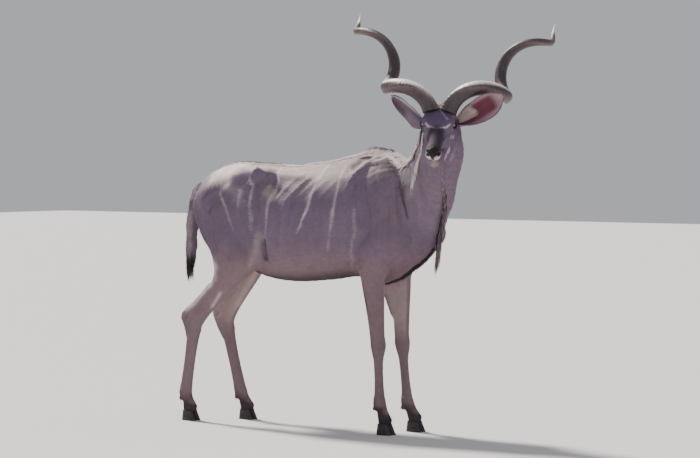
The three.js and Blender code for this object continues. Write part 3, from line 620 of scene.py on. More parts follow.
def fold_skin(verts, normals):
    push = np.zeros(len(verts))
    side = np.abs(normals[:, 1])
    flat = verts[:, [0, 2]]
    trunk = (verts[:, 2] > 0.62) & (np.abs(verts[:, 1]) > 0.05)
    for path, width, height in SIDE_FOLDS:
        d, share = path_distance(flat, path)
        fade = smoothstep(0, 0.15, share) * (1 - smoothstep(0.85, 1, share))
        flank = smoothstep(0.25, 0.7, side) * trunk
        push += height * bell(d, width) * flank * (0.35 + 0.65 * fade)
    for x, height in RIBS:
        drop = 1.26 - verts[:, 2]
        lean = x - 0.85 * np.clip(drop, 0, 0.1) - 0.25 * np.maximum(drop - 0.1, 0)
        low = smoothstep(0.86, 1.16, verts[:, 2]) * (1 - smoothstep(1.25, 1.29, verts[:, 2]))
        push += height * bell(verts[:, 0] - lean, 0.015) * low * smoothstep(0.35, 0.6, side)
    face = to_frame(FACE, verts)
    head = near_head(verts) > 0
    mirrored = face[head]
    mirrored[:, 1] = np.abs(mirrored[:, 1])
    for path, width, height in FACE_FOLDS:
        push[head] += height * bell(path_distance(mirrored, path)[0], width)
    for legs in (FORELEGS, HIND_LEGS):
        for s in (-1, 1):
            knee, fetlock = np.array(legs[s][1]), np.array(legs[s][2])
            for inner in (-1, 1):
                offset = np.array([-0.014, 0.026 * inner, 0])
                groove = [knee + offset - [0, 0, 0.07], fetlock + offset + [0, 0, 0.03]]
                push -= 0.0045 * bell(path_distance(verts, groove)[0], 0.010)
    neck = smoothstep(1.05, 1.2, verts[:, 2]) * (1 - near_head(verts)) * smoothstep(0.10, 0.2, verts[:, 0])
    turn = np.arctan2(verts[:, 1] + 0.3 * (verts[:, 0] - 0.2), verts[:, 0] - 0.15)
    push += 0.0028 * neck * np.sin(17 * turn + 3 * noise(verts, 0.15, 5))
    push += 0.0022 * noise(verts, 0.07, 6) * smoothstep(0.7, 0.9, verts[:, 2]) * (1 - near_head(verts))
    return verts + normals * push[:, None]


def along_skin(ways, normals, share=1.0):
    return unit(ways - share * normals * np.sum(ways * normals, 1)[:, None])


def lie_of_coat(points, normals):
    total = np.zeros_like(points)
    for limb in LIMBS:
        near = limb.near(points, 0.06)
        if not near.any():
            continue
        way = np.zeros((near.sum(), 3))
        d = limb.distance(points[near], 0.08, way)
        total[near] += way * np.exp(-np.clip(d, -0.02, 1) / 0.012)[:, None]
    trunk = smoothstep(0.75, 0.95, points[:, 2]) * (1 - near_head(points))
    total = unit(total)
    total[:, 2] -= 0.45 * trunk * (1 - np.abs(normals[:, 2]))
    total += 0.18 * np.stack([noise(points, 0.05, n) for n in (21, 22, 23)], 1)
    return along_skin(total, normals)


# Markings and painted light: the coat's colour at a point, the same for skin and for tufts

FLANK = lin(114, 98, 118)
PAINTED_SUNLIT_BACK = lin(186, 170, 167)
BELLY = lin(132, 110, 116)
LEG = lin(126, 107, 113)
NECKHAIR = lin(128, 111, 127)
FACEHAIR = lin(104, 88, 114)
CHEEKHAIR = lin(106, 91, 110)
DARK = lin(56, 43, 50)
BLACK = lin(34, 28, 32)
WHITE = lin(226, 216, 214)
PALE = lin(190, 172, 168)

# Lines of other colours in the coat, on both sides: each a path, half its width and its strength. The black
# line is painted shade in the crease of the flank fold; the pale one runs along the fold's ridge behind it.
LINES = [
    ([(-0.664, 0.200, 0.945), (-0.666, 0.185, 0.900), (-0.676, 0.170, 0.855)], 0.010, 0.85, BLACK),
    ([(-0.690, 0.214, 0.975), (-0.722, 0.195, 0.905), (-0.766, 0.182, 0.838)], 0.024, 0.28, PALE),
]
# The same on one side only, where the neck is bent and the legs are apart. The white lines down the back of
# the right hind leg are painted highlights on its tendon, and the two dark lines on the neck are painted
# shade in its creases.
ONE_SIDED = [
    ([(-0.95, 0.118, 0.82), (-1.00, 0.118, 0.754), (-1.044, 0.117, 0.685), (-1.09, 0.115, 0.61)],
     0.024, 0.55, PALE),
    # painted highlights on the tendon of the right hind leg
    ([(-1.05, -0.15, 0.84), (-1.01, -0.165, 0.80), (-0.992, -0.18, 0.755), (-1.09, -0.165, 0.68),
      (-1.167, -0.152, 0.62), (-1.235, -0.138, 0.586)], 0.015, 0.55, WHITE),
    ([(-0.977, -0.175, 0.678), (-1.052, -0.150, 0.603)], 0.009, 0.45, WHITE),
    # painted shade in two creases on the right of the neck
    ([(0.125, -0.120, 1.26), (0.142, -0.128, 1.225), (0.165, -0.141, 1.166), (0.188, -0.142, 1.094)],
     0.008, 0.85, DARK),
    ([(0.100, -0.150, 1.22), (0.118, -0.155, 1.14), (0.135, -0.158, 1.07)], 0.006, 0.35, DARK),
    ([(0.423, -0.053, 1.471), (0.422, -0.079, 1.422), (0.415, -0.100, 1.373)], 0.0065, 0.50, WHITE),
]
# Stripes as seen from the side, x and z, each with its strength and half its width
STRIPES = [
    ([(-0.105, 1.12), (-0.102, 1.02), (-0.14, 0.90), (-0.176, 0.81)], 0.22, 0.007),
    ([(-0.233, 1.33), (-0.217, 1.236), (-0.222, 1.136), (-0.235, 1.038), (-0.271, 0.911)], 0.62, 0.0062),
    ([(-0.36, 1.33), (-0.36, 1.259), (-0.377, 1.135), (-0.413, 1.033), (-0.44, 0.998)], 0.85, 0.0068),
    ([(-0.661, 1.323), (-0.614, 1.257), (-0.624, 1.142), (-0.632, 1.026), (-0.64, 0.96)], 0.60, 0.0066),
    ([(-0.775, 1.30), (-0.762, 1.20), (-0.758, 1.13), (-0.736, 1.003)], 0.58, 0.0070),
    ([(-0.851, 1.205), (-0.832, 1.077)], 0.32, 0.0055),
    ([(-0.986, 1.202), (-0.931, 1.128), (-0.873, 1.009)], 0.48, 0.0055),
]


# The edge of the mane where it falls down the right of the neck: pale hair painted whiter as painted sunlight
MANE_FALL = [(0.283, -0.140, 1.49), (0.245, -0.135, 1.40), (0.215, -0.122, 1.30), (0.198, -0.118, 1.20)]
# Pale spots on each cheek, in the frame of the face
CHEEK_SPOTS = [((0.045, 0.060, -0.040), 0.012), ((0.015, 0.068, -0.056), 0.012),
               ((-0.02, 0.070, -0.070), 0.010)]


def blob(face, centre, size):
    d = (face - centre) / size
    return 1 - smoothstep(0.6, 1.2, np.linalg.norm(d, axis=1))


def stripe_amount(points):
    stripes = np.zeros(len(points))
    flat = points[:, [0, 2]]
    waver = noise(points, 0.06, 8) * 0.004
    for path, strength, width in STRIPES:
        d, share = path_distance(flat + np.stack([waver, 0 * waver], 1), path)
        line = (1 - smoothstep(0.15 * width, 1.4 * width, d)) * (1 - smoothstep(0.55, 1.0, share) * 0.7)
        stripes = np.maximum(stripes, line * strength)
    stripes = np.clip(stripes * (0.9 + 0.25 * noise(points, 0.03, 9)), 0, 1)
    return stripes * smoothstep(0.02, 0.06, np.abs(points[:, 1]))


def coat_colour(points, normals):
    x, y, z = points.T
    side = np.abs(y)
    wide = noise(points, 0.12, 1) * 0.5 + noise(points, 0.045, 2) * 0.3
    head = near_head(points)
    colour = np.repeat(FLANK[None], len(points), 0)
    # painted sunlight: the back is painted paler where it faces up, less so towards the neck and by the tail
    up = smoothstep(0.25, 0.85, normals[:, 2] + 0.15 * wide)
    colour = mix(colour, PAINTED_SUNLIT_BACK, up * smoothstep(1.0, 1.2, z) * (0.85 - 0.6 * smoothstep(-0.02, 0.07, x)))
    # painted sunlight: the top of the croup is painted near white where it faces up
    croup = smoothstep(-1.13, -1.06, x) * (1 - smoothstep(-0.92, -0.84, x)) * smoothstep(1.20, 1.27, z)
    colour = mix(colour, WHITE, 0.85 * croup * smoothstep(0.15, 0.55, normals[:, 2]))
    colour = mix(colour, FLANK, 0.55 * up * (1 - smoothstep(-1.18, -1.10, x)))
    colour = mix(colour, BELLY, (1 - smoothstep(0.80, 0.98, z + 0.03 * wide)) * 0.8)
    neck = smoothstep(0.12, 0.24, x) * smoothstep(0.95, 1.1, z)
    colour = mix(colour, NECKHAIR, neck * 0.8)
    shoulder = np.exp(-(((x - 0.10) / 0.10) ** 2) - ((z - 1.10) / 0.16) ** 2)
    colour = mix(colour, lin(118, 100, 108), 0.5 * shoulder)
    # painted sunlight on the pale edge of the mane
    fall = path_distance(points, MANE_FALL)[0]
    colour = mix(colour, WHITE, 0.25 * bell(fall, 0.020) * (0.8 + wide))
    leg = 1 - smoothstep(0.55, 0.82, z)
    colour = mix(colour, LEG, leg * 0.85)
    inner = smoothstep(0.1, 0.6, -normals[:, 1] * np.sign(y))
    inner = inner * (1 - smoothstep(0.72, 0.86, z)) * (side > 0.03)
    colour = mix(colour, PALE, inner * smoothstep(0.42, 0.58, z) * 0.45)
    keel = np.exp(-((y / 0.105) ** 4)) * smoothstep(0.1, 0.6, -normals[:, 2])
    keel *= smoothstep(0.70, 0.74, z) * (1 - smoothstep(0.86, 0.93, z))
    colour = mix(colour, BLACK, keel * (0.85 - 0.75 * smoothstep(-0.12, -0.02, x)))
    for path, width, strength, shade in LINES:
        near = path_distance(np.stack([x, side, z], 1), path)[0]
        colour = mix(colour, shade, strength * bell(near, width))
    spine = bell(y, 0.014) * smoothstep(1.2, 1.28, z) * (x < 0.05)
    spine = spine * smoothstep(0.3, 0.7, normals[:, 2])
    ridge = smoothstep(-0.04, 0.06, -x - 0.66) * smoothstep(-1.06, -0.98, x)
    ridge = np.maximum(ridge, smoothstep(-0.19, -0.13, x))
    colour = mix(colour, WHITE, spine * 0.65 * smoothstep(-1.15, -0.95, x) * (1 - ridge))
    colour = mix(colour, BLACK, spine * 0.9 * ridge)
    colour = mix(colour, WHITE, 0.74 * stripe_amount(points) * (1 - leg))
    colour = leg_marks(colour, points, normals)
    tail = (x < -1.20) & (side < 0.06) & (z > 0.6)
    tail_colour = mix(FLANK[None], WHITE[None], 0.22 * smoothstep(0.5, 1.0, side / 0.026))
    colour = np.where(tail[:, None], tail_colour, colour)
    colour = mix(colour, face_colour(points, normals), head)
    for path, width, strength, shade in ONE_SIDED:
        near = path_distance(points, path)[0]
        colour = mix(colour, shade, strength * bell(near, width) * (0.85 + 0.5 * wide))
    return colour * (1 + 0.10 * wide)[:, None]


def leg_marks(colour, points, normals):
    x, y, z = points.T
    for legs, front in ((FORELEGS, True), (HIND_LEGS, False)):
        for s in (-1, 1):
            joints = np.array(legs[s])
            mine = (np.sign(y) == s) & ((x > -0.5) == front) & (z < 0.9)
            fetlock = joints[2]
            band = bell(z - fetlock[2] + 0.02, 0.035) * smoothstep(-0.2, 0.7, -normals[:, 0])
            low = 1 - smoothstep(0.10, 0.165, z + 0.02 * noise(points, 0.03, 12))
            amount = np.clip(0.6 * band + 0.85 * low, 0, 0.9) * mine
            colour = mix(colour, DARK, amount)
            pale = bell(z - fetlock[2] + 0.045, 0.012)
            pale = pale * smoothstep(0.3, 0.9, normals[:, 0]) * mine
            colour = mix(colour, PALE, 0.3 * pale)
            if front:
                garter = bell(z - 0.67, 0.06) * smoothstep(0.1, 0.7, -normals[:, 0]) * mine
                colour = mix(colour, DARK, 0.8 * garter)
                knee = bell(z - 0.46, 0.05) * smoothstep(-0.3, 0.5, -normals[:, 0]) * mine
                colour = mix(colour, DARK, 0.3 * knee)
    return colour


def face_colour(points, normals):
    face = to_frame(FACE, points)
    f, l, u = face.T
    side = np.abs(l)
    mirrored = np.stack([f, side, u], 1)
    top = smoothstep(-0.10, 0.45, normals @ FACE[2])
    colour = np.repeat(CHEEKHAIR[None], len(points), 0)
    colour = mix(colour, FACEHAIR, np.maximum(top, smoothstep(0.10, 0.2, f) * 0.8))
    back = smoothstep(0.04, 0.12, -f) * (1 - top)
    colour = mix(colour, NECKHAIR, back * 0.7)
    colour = mix(colour, DARK, top * smoothstep(-0.02, 0.04, -f) * 0.15)
    centre = 0.112 - 1.35 * (np.hypot(side, 0.010) - 0.010)
    chevron = bell(f - centre, 0.0040) * smoothstep(0.0, 0.3, normals @ FACE[2])
    chevron *= 1 - smoothstep(0.056, 0.064, side)
    colour = mix(colour, WHITE, chevron * 0.8)
    # painted shade: the bridge of the nose is painted dark, as the face stands in shade
    bridge = (1 - smoothstep(0.028, 0.046, side)) * smoothstep(0.07, 0.12, f) * (u > -0.006)
    colour = mix(colour, DARK, 0.85 * bridge)
    for at, size in CHEEK_SPOTS:
        colour = mix(colour, WHITE, 0.35 * blob(mirrored, at, size))
    lip = smoothstep(0.188, 0.225, f) * (1 - smoothstep(-0.020, -0.012, u))
    colour = mix(colour, WHITE, 0.9 * lip * (side > 0.008))
    chin = smoothstep(0.12, 0.17, f) * (1 - smoothstep(-0.052, -0.040, u)) * smoothstep(-0.105, -0.090, u)
    chin *= 1 - smoothstep(0.030, 0.042, side)
    colour = mix(colour, WHITE, 0.9 * chin)
    ring = np.linalg.norm(mirrored - [0.0, 0.076, 0.006], axis=1)
    colour = mix(colour, BLACK, 0.85 * (1 - smoothstep(0.016, 0.026, ring)))
    colour = mix(colour, PALE, 0.5 * bell(ring - 0.034, 0.006) * (u > 0.012) * (f < 0.0))
    colour = mix(colour, BLACK, bare_nose(points))
    return colour


def bare_nose(points):
    f, l, u = to_frame(FACE, points).T
    pad = smoothstep(0.236, 0.252, f - 0.25 * np.abs(l)) * smoothstep(-0.018, -0.013, u)
    pad = np.maximum(pad, smoothstep(0.262, 0.270, f) * (1 - smoothstep(0.0035, 0.006, np.abs(l))))
    mouth = bell(u + 0.034, 0.0028) * smoothstep(0.16, 0.19, f)
    return np.clip(np.maximum(pad, mouth), 0, 1) * near_head(points)


# Materials


class Look:
    """A material round one shader, with noises that tint its colour, spread its roughness and raise it."""

    def __init__(self, name):
        self.made = bpy.data.materials.new(name)
        self.made.use_nodes = True
        self.nodes, self.links = self.made.node_tree.nodes, self.made.node_tree.links
        self.shader = self.nodes["Principled BSDF"]

    def put(self, socket, value):
        self.shader.inputs[socket].default_value = value

    def wire(self, source, socket):
        self.links.new(source, self.shader.inputs[socket])

    def attribute(self, name):
        node = self.nodes.new("ShaderNodeAttribute")
        node.attribute_name = name
        return node

    def noise(self, scale, detail=4.0, stretch=(1, 1, 1)):
        coords = self.nodes.new("ShaderNodeTexCoord")
        mapping = self.nodes.new("ShaderNodeMapping")
        mapping.inputs["Scale"].default_value = stretch
        texture = self.nodes.new("ShaderNodeTexNoise")
        texture.inputs["Scale"].default_value = scale
        texture.inputs["Detail"].default_value = detail
        self.links.new(coords.outputs["Object"], mapping.inputs["Vector"])
        self.links.new(mapping.outputs["Vector"], texture.inputs["Vector"])
        return texture.outputs["Fac"]

    def spread(self, source, low, high, start=0.3, end=0.7):
        node = self.nodes.new("ShaderNodeMapRange")
        for socket, value in (("From Min", start), ("From Max", end), ("To Min", low), ("To Max", high)):
            node.inputs[socket].default_value = value
        self.links.new(source, node.inputs["Value"])
        return node.outputs["Result"]

    def colour(self, *tints):
        """The coat attribute, made darker and lighter by each tint: a noise and its low and high."""
        colour = self.attribute("coat").outputs["Color"]
        for source, low, high in tints:
            node = self.nodes.new("ShaderNodeMix")
            node.data_type = "RGBA"
            node.blend_type = "MULTIPLY"
            node.inputs[0].default_value = 1.0
            self.links.new(colour, node.inputs[6])
            grey = self.nodes.new("ShaderNodeCombineColor")
            factor = self.spread(source, low, high)
            for n in range(3):
                self.links.new(factor, grey.inputs[n])
            self.links.new(grey.outputs[0], node.inputs[7])
            colour = node.outputs[2]
        self.wire(colour, "Base Color")

    def bump(self, height, distance, strength=1.0):
        node = self.nodes.new("ShaderNodeBump")
        node.inputs["Strength"].default_value = strength
        node.inputs["Distance"].default_value = distance
        self.links.new(height, node.inputs["Height"])
        self.wire(node.outputs["Normal"], "Normal")


def skin_look(look):
    fine = look.noise(330, 3, (1.6, 1.6, 0.7))
    look.colour((fine, 0.80, 1.16), (look.noise(22, 5), 0.93, 1.07))
    look.wire(look.spread(look.attribute("bare").outputs["Fac"], 0.88, 0.38, 0, 1), "Roughness")
    look.put("Specular IOR Level", 0.25)
    look.bump(fine, 0.0016, 0.6)


def hair_look(look):
    look.colour((look.noise(500, 2, (1.6, 1.6, 0.5)), 0.88, 1.12))
    look.put("Roughness", 0.72)
    look.put("Specular IOR Level", 0.18)


def horn_look(look):
    fine = look.noise(160, 6, (1, 1, 0.35))
    look.colour((fine, 0.72, 1.25), (look.noise(26, 4), 0.85, 1.15))
    look.wire(look.spread(fine, 0.36, 0.60), "Roughness")
    look.put("Specular IOR Level", 0.45)
    look.bump(fine, 0.0012, 0.7)


def hoof_look(look):
    fine, dust = look.noise(240, 5, (0.5, 0.5, 2.2)), look.noise(60, 4)
    look.colour((fine, 0.7, 1.3), (dust, 0.85, 1.25))
    look.wire(look.spread(dust, 0.42, 0.65), "Roughness")
    look.bump(fine, 0.0008, 0.6)


def eye_look(look):
    look.colour((look.noise(700, 3), 0.75, 1.25))
    look.put("Roughness", 0.06)
    look.put("Coat Weight", 0.8)
    look.put("Coat Roughness", 0.03)


def wet_look(look):
    fine = look.noise(600, 3)
    look.colour((fine, 0.8, 1.2))
    look.put("Roughness", 0.32)
    look.bump(fine, 0.0004, 0.5)


def material(name, build):
    look = Look(name)
    build(look)
    return look.made


SKIN = material("kudu_skin", skin_look)
HAIR = material("kudu_hair", hair_look)
HORN = material("kudu_horn", horn_look)
HOOF = material("kudu_hoof", hoof_look)
EYE = material("kudu_eye", eye_look)
WET = material("kudu_wet_rim", wet_look)


# Meshes


def make_piece(name, verts, faces, look, colours, bare=None, normals=None, uvs=None, replaces=()):
    mesh = bpy.data.meshes.new(name)
    faces = faces if isinstance(faces, list) else [faces]
    loops = np.concatenate([f.ravel() for f in faces]).astype(np.int32)
    totals = np.concatenate([np.full(len(f), f.shape[1]) for f in faces])
    starts = np.concatenate([[0], np.cumsum(totals)[:-1]]).astype(np.int32)
    mesh.vertices.add(len(verts))
    mesh.vertices.foreach_set("co", (verts + SHIFT).astype(np.float32).ravel())
    mesh.loops.add(len(loops))
    mesh.loops.foreach_set("vertex_index", loops)
    mesh.polygons.add(len(totals))
    mesh.polygons.foreach_set("loop_start", starts)
    mesh.update(calc_edges=True)
    mesh.polygons.foreach_set("use_smooth", np.ones(len(totals), bool))
    rgba = np.column_stack([np.clip(colours, 0, 1), np.ones(len(verts))]).astype(np.float32)
    mesh.color_attributes.new("coat", "FLOAT_COLOR", "POINT").data.foreach_set("color", rgba.ravel())
    if bare is not None:
        mesh.attributes.new("bare", "FLOAT", "POINT").data.foreach_set("value", bare.astype(np.float32))
    if uvs is not None:
        mesh.uv_layers.new(name="OFBake").data.foreach_set("uv", uvs[loops].astype(np.float32).ravel())
    if normals is not None:
        mesh.normals_split_custom_set_from_vertices(normals.astype(np.float32).tolist())
    mesh.materials.append(look)
    piece = bpy.data.objects.new(name, mesh)
    bpy.context.scene.collection.objects.link(piece)
    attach(piece, "root")
    if replaces:
        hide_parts(*replaces)
    return piece


def tube_quads(rows, sides):
    """Quads that join rings of vertices, each ring closed on itself."""
    i, j = np.meshgrid(np.arange(rows - 1), np.arange(sides), indexing="ij")
    a, b = i * sides + j, i * sides + (j + 1) % sides
    return np.stack([a, b, b + sides, a + sides], -1).reshape(-1, 4)


def end_caps(rows, sides):
    k = np.arange(1, sides - 1)
    last = (rows - 1) * sides
    return np.vstack([np.stack([0 * k, k + 1, k], 1), np.stack([0 * k + last, last + k, last + k + 1], 1)])


def build_skin():
    def xs(x):
        return 0.0062 - 0.0030 * smoothstep(0.16, 0.30, x)

    def ys(y):
        return 0.0062 - 0.0028 * smoothstep(0.12, -0.02, y) * 0.6

    def zs(z):
        return 0.0062 - 0.0030 * smoothstep(1.24, 1.36, z) - 0.0018 * (1 - smoothstep(0.16, 0.26, z))

    axes = [
        axis_nodes(-1.45, 0.66, xs, 16),
        axis_nodes(-0.50, 0.32, ys, 16),
        axis_nodes(0.052, 1.72, zs, 16),
    ]
    verts, quads = surface_net(skin_distance, axes)
    head = near_head(verts)
    verts = relax(verts, quads, 1 - 0.75 * head, 7)
    normals = vertex_normals(verts, quads)
    verts = fold_skin(verts, normals)
    verts = relax(verts, quads, np.full(len(verts), 0.5), 1)
    return verts, quads, vertex_normals(verts, quads)


SKIN_NODES = ["head", "neck", "trunk", "tail"]
LEG_NODES = [s + leg for s in ("right_", "left_") for leg in ("foreleg_", "hindleg_")]
SKIN_NODES += [leg + part for leg in LEG_NODES for part in ("upper", "lower")]

skin_verts, skin_quads, skin_normals = build_skin()
print("skin", len(skin_verts), len(skin_quads))
# painted shade: the skin under the tufts is a little darker than the coat
make_piece("skin", skin_verts, skin_quads, SKIN,
           coat_colour(skin_verts, skin_normals) * 0.92, bare=bare_nose(skin_verts), replaces=SKIN_NODES)


# Tufts: many small closed spikes joined in one mesh. Each has its patch in the OFBake map,
# at its root's place on six flat charts of the skin.


def chart_place(points, normals, low, high):
    axis = np.argmax(np.abs(normals), 1)
    chart = axis + 3 * (normals[np.arange(len(points)), axis] > 0)
    share = (points - low) / (high - low + 1e-9)
    u = np.where(axis == 0, share[:, 1], share[:, 0])
    v = np.where(axis == 2, share[:, 1], share[:, 2])
    cell = np.stack([chart % 3 / 3, chart // 3 / 2], 1)
    return cell + np.stack([0.008 + u * 0.312, 0.008 + v * 0.478], 1)


def grow(name, roots, normals, ways, lengths, widths, lift, colours, tips=None, steps=1, droop=0.0, flat=0.45,
         bend=0.0, outward=0.75, upward=0.0):
    """Spikes with a flat triangular section, from a root just under the skin to one tip."""
    count = len(roots)
    lengths, widths = np.broadcast_to(lengths, count), np.broadcast_to(widths, count)
    lift = np.broadcast_to(lift, count)[:, None]
    across = unit(np.cross(ways, normals))
    start = unit(ways + normals * lift)
    rows, shade, base_uv = [], [], chart_place(roots, normals, roots.min(0), roots.max(0))
    uv_rows = []
    tips = colours if tips is None else tips
    swing = RNG.normal(0, 1, count)[:, None] * bend
    for k in range(steps + 1):
        t = k / (steps + 1)
        path = start * t - normals * (0.55 * lift * t * t) + across * swing * t * t
        path[:, 2] -= droop * t * t
        centre = roots - normals * 0.0012 * (k == 0) + path * lengths[:, None]
        leaf = (0.75 + 0.5 * math.sin(math.pi * min(1, 1.3 * t + 0.15))) * (1 - t) ** 0.35
        half = 0.5 * widths[:, None] * leaf
        thick = flat * half
        rows += [centre - across * half, centre + normals * thick, centre + across * half]
        # painted shade: each spike is darker at its root, where the coat shades itself
        shade += [mix(colours * 0.80, tips, np.full(count, t))] * 3
        uv_rows += [base_uv + np.array([dx, t * 0.0028]) for dx in (0, 0.0014, 0.0028)]
    path = start - normals * (0.55 * lift) + across * swing
    path[:, 2] -= droop
    rows.append(roots + path * lengths[:, None])
    shade.append(tips)
    uv_rows.append(base_uv + [0.0014, 0.0029])
    per = len(rows)
    verts = np.stack(rows, 1).reshape(-1, 3)
    cols = np.stack(shade, 1).reshape(-1, 3)
    uvs = np.stack(uv_rows, 1).reshape(-1, 2)
    first = (np.arange(count) * per)[:, None]
    quads = []
    for k in range(steps):
        a = 3 * k
        quads += [[a, a + 1, a + 4, a + 3], [a + 1, a + 2, a + 5, a + 4], [a + 2, a, a + 3, a + 5]]
    a = 3 * steps
    tris = [[a, a + 1, per - 1], [a + 1, a + 2, per - 1], [a + 2, a, per - 1], [2, 1, 0]]
    faces = [(first[:, :, None] + np.array(tris)).reshape(-1, 3)]
    if quads:
        faces.append((first[:, :, None] + np.array(quads)).reshape(-1, 4))
    facing = normals * np.broadcast_to(outward, count)[:, None] + UP * upward
    own = unit(np.repeat(facing, per, 0))
    sway = np.repeat(across, per, 0) * np.tile([-0.5, 0.0, 0.5] * (steps + 1) + [0.0], count)[:, None]
    own = unit(own + sway + 0.25 * np.repeat(start, per, 0))
    triangles = sum(len(f) * (f.shape[1] - 2) for f in faces)
    print(name, count, "tufts", triangles, "triangles")
    return make_piece(name, verts, faces, HAIR, cols, normals=own, uvs=uvs)


def scatter(weight, count):
    tri = np.vstack([skin_quads[:, [0, 1, 2]], skin_quads[:, [0, 2, 3]]])
    a, b, c = (skin_verts[tri[:, n]] for n in range(3))
    area = np.linalg.norm(np.cross(b - a, c - a), axis=1) / 2
    w = area * weight[tri].mean(1)
    pick = np.searchsorted(np.cumsum(w), (np.arange(count) + RNG.random(count)) / count * w.sum())
    pick = np.minimum(pick, len(tri) - 1)
    r1, r2 = np.sqrt(RNG.random(count)), RNG.random(count)
    bary = np.stack([1 - r1, r1 * (1 - r2), r1 * r2], 1)
    points = np.einsum("nk,nkd->nd", bary, skin_verts[tri[pick]])
    normals = unit(np.einsum("nk,nkd->nd", bary, skin_normals[tri[pick]]))
    return points, normals


def varied(colour, amount, points):
    light = 1 + amount * RNG.normal(0, 1, len(colour)) + 0.08 * noise(points, 0.02, 31)
    warm = 1 + 0.35 * amount * RNG.normal(0, 1, (len(colour), 3))
    return np.clip(colour * light[:, None] * warm, 0.004, 1)


SHORT_TUFTS = 215000
TUFT_LENGTH = 0.0215
TUFT_WIDTH = 0.0058


def short_coat():
    z = skin_verts[:, 2]
    head = near_head(skin_verts)
    bare = bare_nose(skin_verts)
    eyes = np.min([np.linalg.norm(skin_verts - EYE_AT[s], axis=1) for s in (-1, 1)], axis=0)
    weight = (1 - smoothstep(0.05, 0.4, bare)) * (eyes > 0.0262)
    weight = weight * (1 + 2.0 * head + 0.9 * (1 - smoothstep(0.3, 0.6, z)) + 1.6 * stripe_amount(skin_verts))
    points, normals = scatter(weight, SHORT_TUFTS)
    ways = lie_of_coat(points, normals)
    head = near_head(points)
    leg = 1 - smoothstep(0.35, 0.75, points[:, 2])
    size = 1 - 0.55 * head - 0.40 * leg * (1 - head)
    lengths = TUFT_LENGTH * size * RNG.uniform(0.75, 1.3, len(points))
    near = np.max([stripe_amount(points + ways * (f * lengths)[:, None]) for f in (0, 0.35, 0.7)], axis=0)
    lengths = lengths * (1 - 0.5 * near)
    widths = TUFT_WIDTH * (1 - 0.45 * head - 0.30 * leg) * RNG.uniform(0.8, 1.2, len(points))
    widths = widths * (1 - 0.25 * near)
    colour = coat_colour(points, normals)
    lift = RNG.uniform(0.10, 0.24, len(points))
    tips = varied(colour * 1.10, 0.07, points)
    colour = varied(colour, 0.05, points)
    part = coat_part(points)
    for name in np.unique(part):
        mine = np.flatnonzero(part == name)
        grow("coat_" + name, points[mine], normals[mine], ways[mine], lengths[mine], widths[mine], lift[mine],
             colour[mine], tips[mine], steps=0, flat=0.5)


def coat_part(points):
    x, y, z = points.T
    side = np.where(y < 0, "right", "left")
    part = np.where(x < -0.42, "rear", "front")
    out = np.char.add(np.char.add("trunk_", part), np.char.add("_", side))
    kind = np.where(x < -0.45, "hindleg_", "foreleg_")
    out = np.where(z < 0.80, np.char.add(kind, side), out)
    out = np.where((x < -1.24) & (np.abs(y) < 0.06) & (z > 0.7), "tail", out)
    neck = (x > 0.06) & (z > 1.02) & (0.82 * (x - 0.09) + 0.574 * (z - 1.33) > -0.05)
    out = np.where(neck, "neck", out)
    return np.where(near_head(points) > 0.5, "head", out)


short_coat()

# Long hair

NAPE = [(0.03, 0.0, 1.345), (0.090, -0.008, 1.35), (0.135, -0.008, 1.385), (0.175, -0.016, 1.43),
        (0.207, -0.030, 1.49), (0.24, -0.035, 1.56)]
THROAT = [(0.392, -0.128, 1.32), (0.374, -0.100, 1.225), (0.348, -0.042, 1.11), (0.306, -0.012, 1.02)]
THROAT_FACES = np.radians([-45, -22, -10, 0])
SPINE = [(0.03, 0, 1.36), (-0.08, 0, 1.40), (-0.25, 0, 1.37), (-0.5, 0, 1.32), (-0.75, 0, 1.33),
         (-0.95, 0, 1.34), (-1.10, 0, 1.29), (-1.2, 0, 1.24)]


def near_path(path, reach, count, weight=None):
    d = path_distance(skin_verts, path)[0]
    w = bell(d, reach) * (d < 2.2 * reach)
    if weight is not None:
        w = w * weight
    points, normals = scatter(w, count)
    return points, normals, path_distance(points, path)[1]


def on_line(path, turns, width, count):
    """Roots in a strip down the front of the neck, near a line that faces as turns say."""
    def aside(points):
        d, share = path_distance(points, path)
        steps = np.linspace(0, 1, len(path))
        place = np.stack([np.interp(share, steps, np.array(path)[:, n]) for n in range(3)], 1)
        turn = np.interp(share, steps, turns)
        off = points - place
        return np.abs(off[:, 1] * np.cos(turn) - off[:, 0] * np.sin(turn)), d, share
    side, d = aside(skin_verts)[:2]
    points, normals = scatter(bell(side, width) * (d < 0.05) * (side < 2.5 * width), count)
    return points, normals, aside(points)[2]


def mane():
    points, normals, share = near_path(NAPE, 0.032, 7600)
    ways = unit(lie_of_coat(points, normals) + np.array([-0.25, -0.35, 0.0]))
    ways = along_skin(ways, normals)
    # the mane's own pale hair, with painted light added towards the head, where the mane stands in shade
    pale = RNG.uniform(0.05, 0.6, len(points)) + 0.35 * smoothstep(0.4, 0.7, share)
    dark = mix(NECKHAIR[None], WHITE[None], pale)
    tips = mix(dark, WHITE[None], RNG.uniform(0.6, 1.0, len(points)))
    lengths = 0.066 * RNG.uniform(0.6, 1.15, len(points)) * (0.70 + 0.4 * np.sin(np.pi * share))
    grow("mane", points, normals, ways, lengths, 0.0040, 0.95, dark, tips, steps=2, droop=0.12, bend=0.16,
         outward=0.3, upward=0.6)


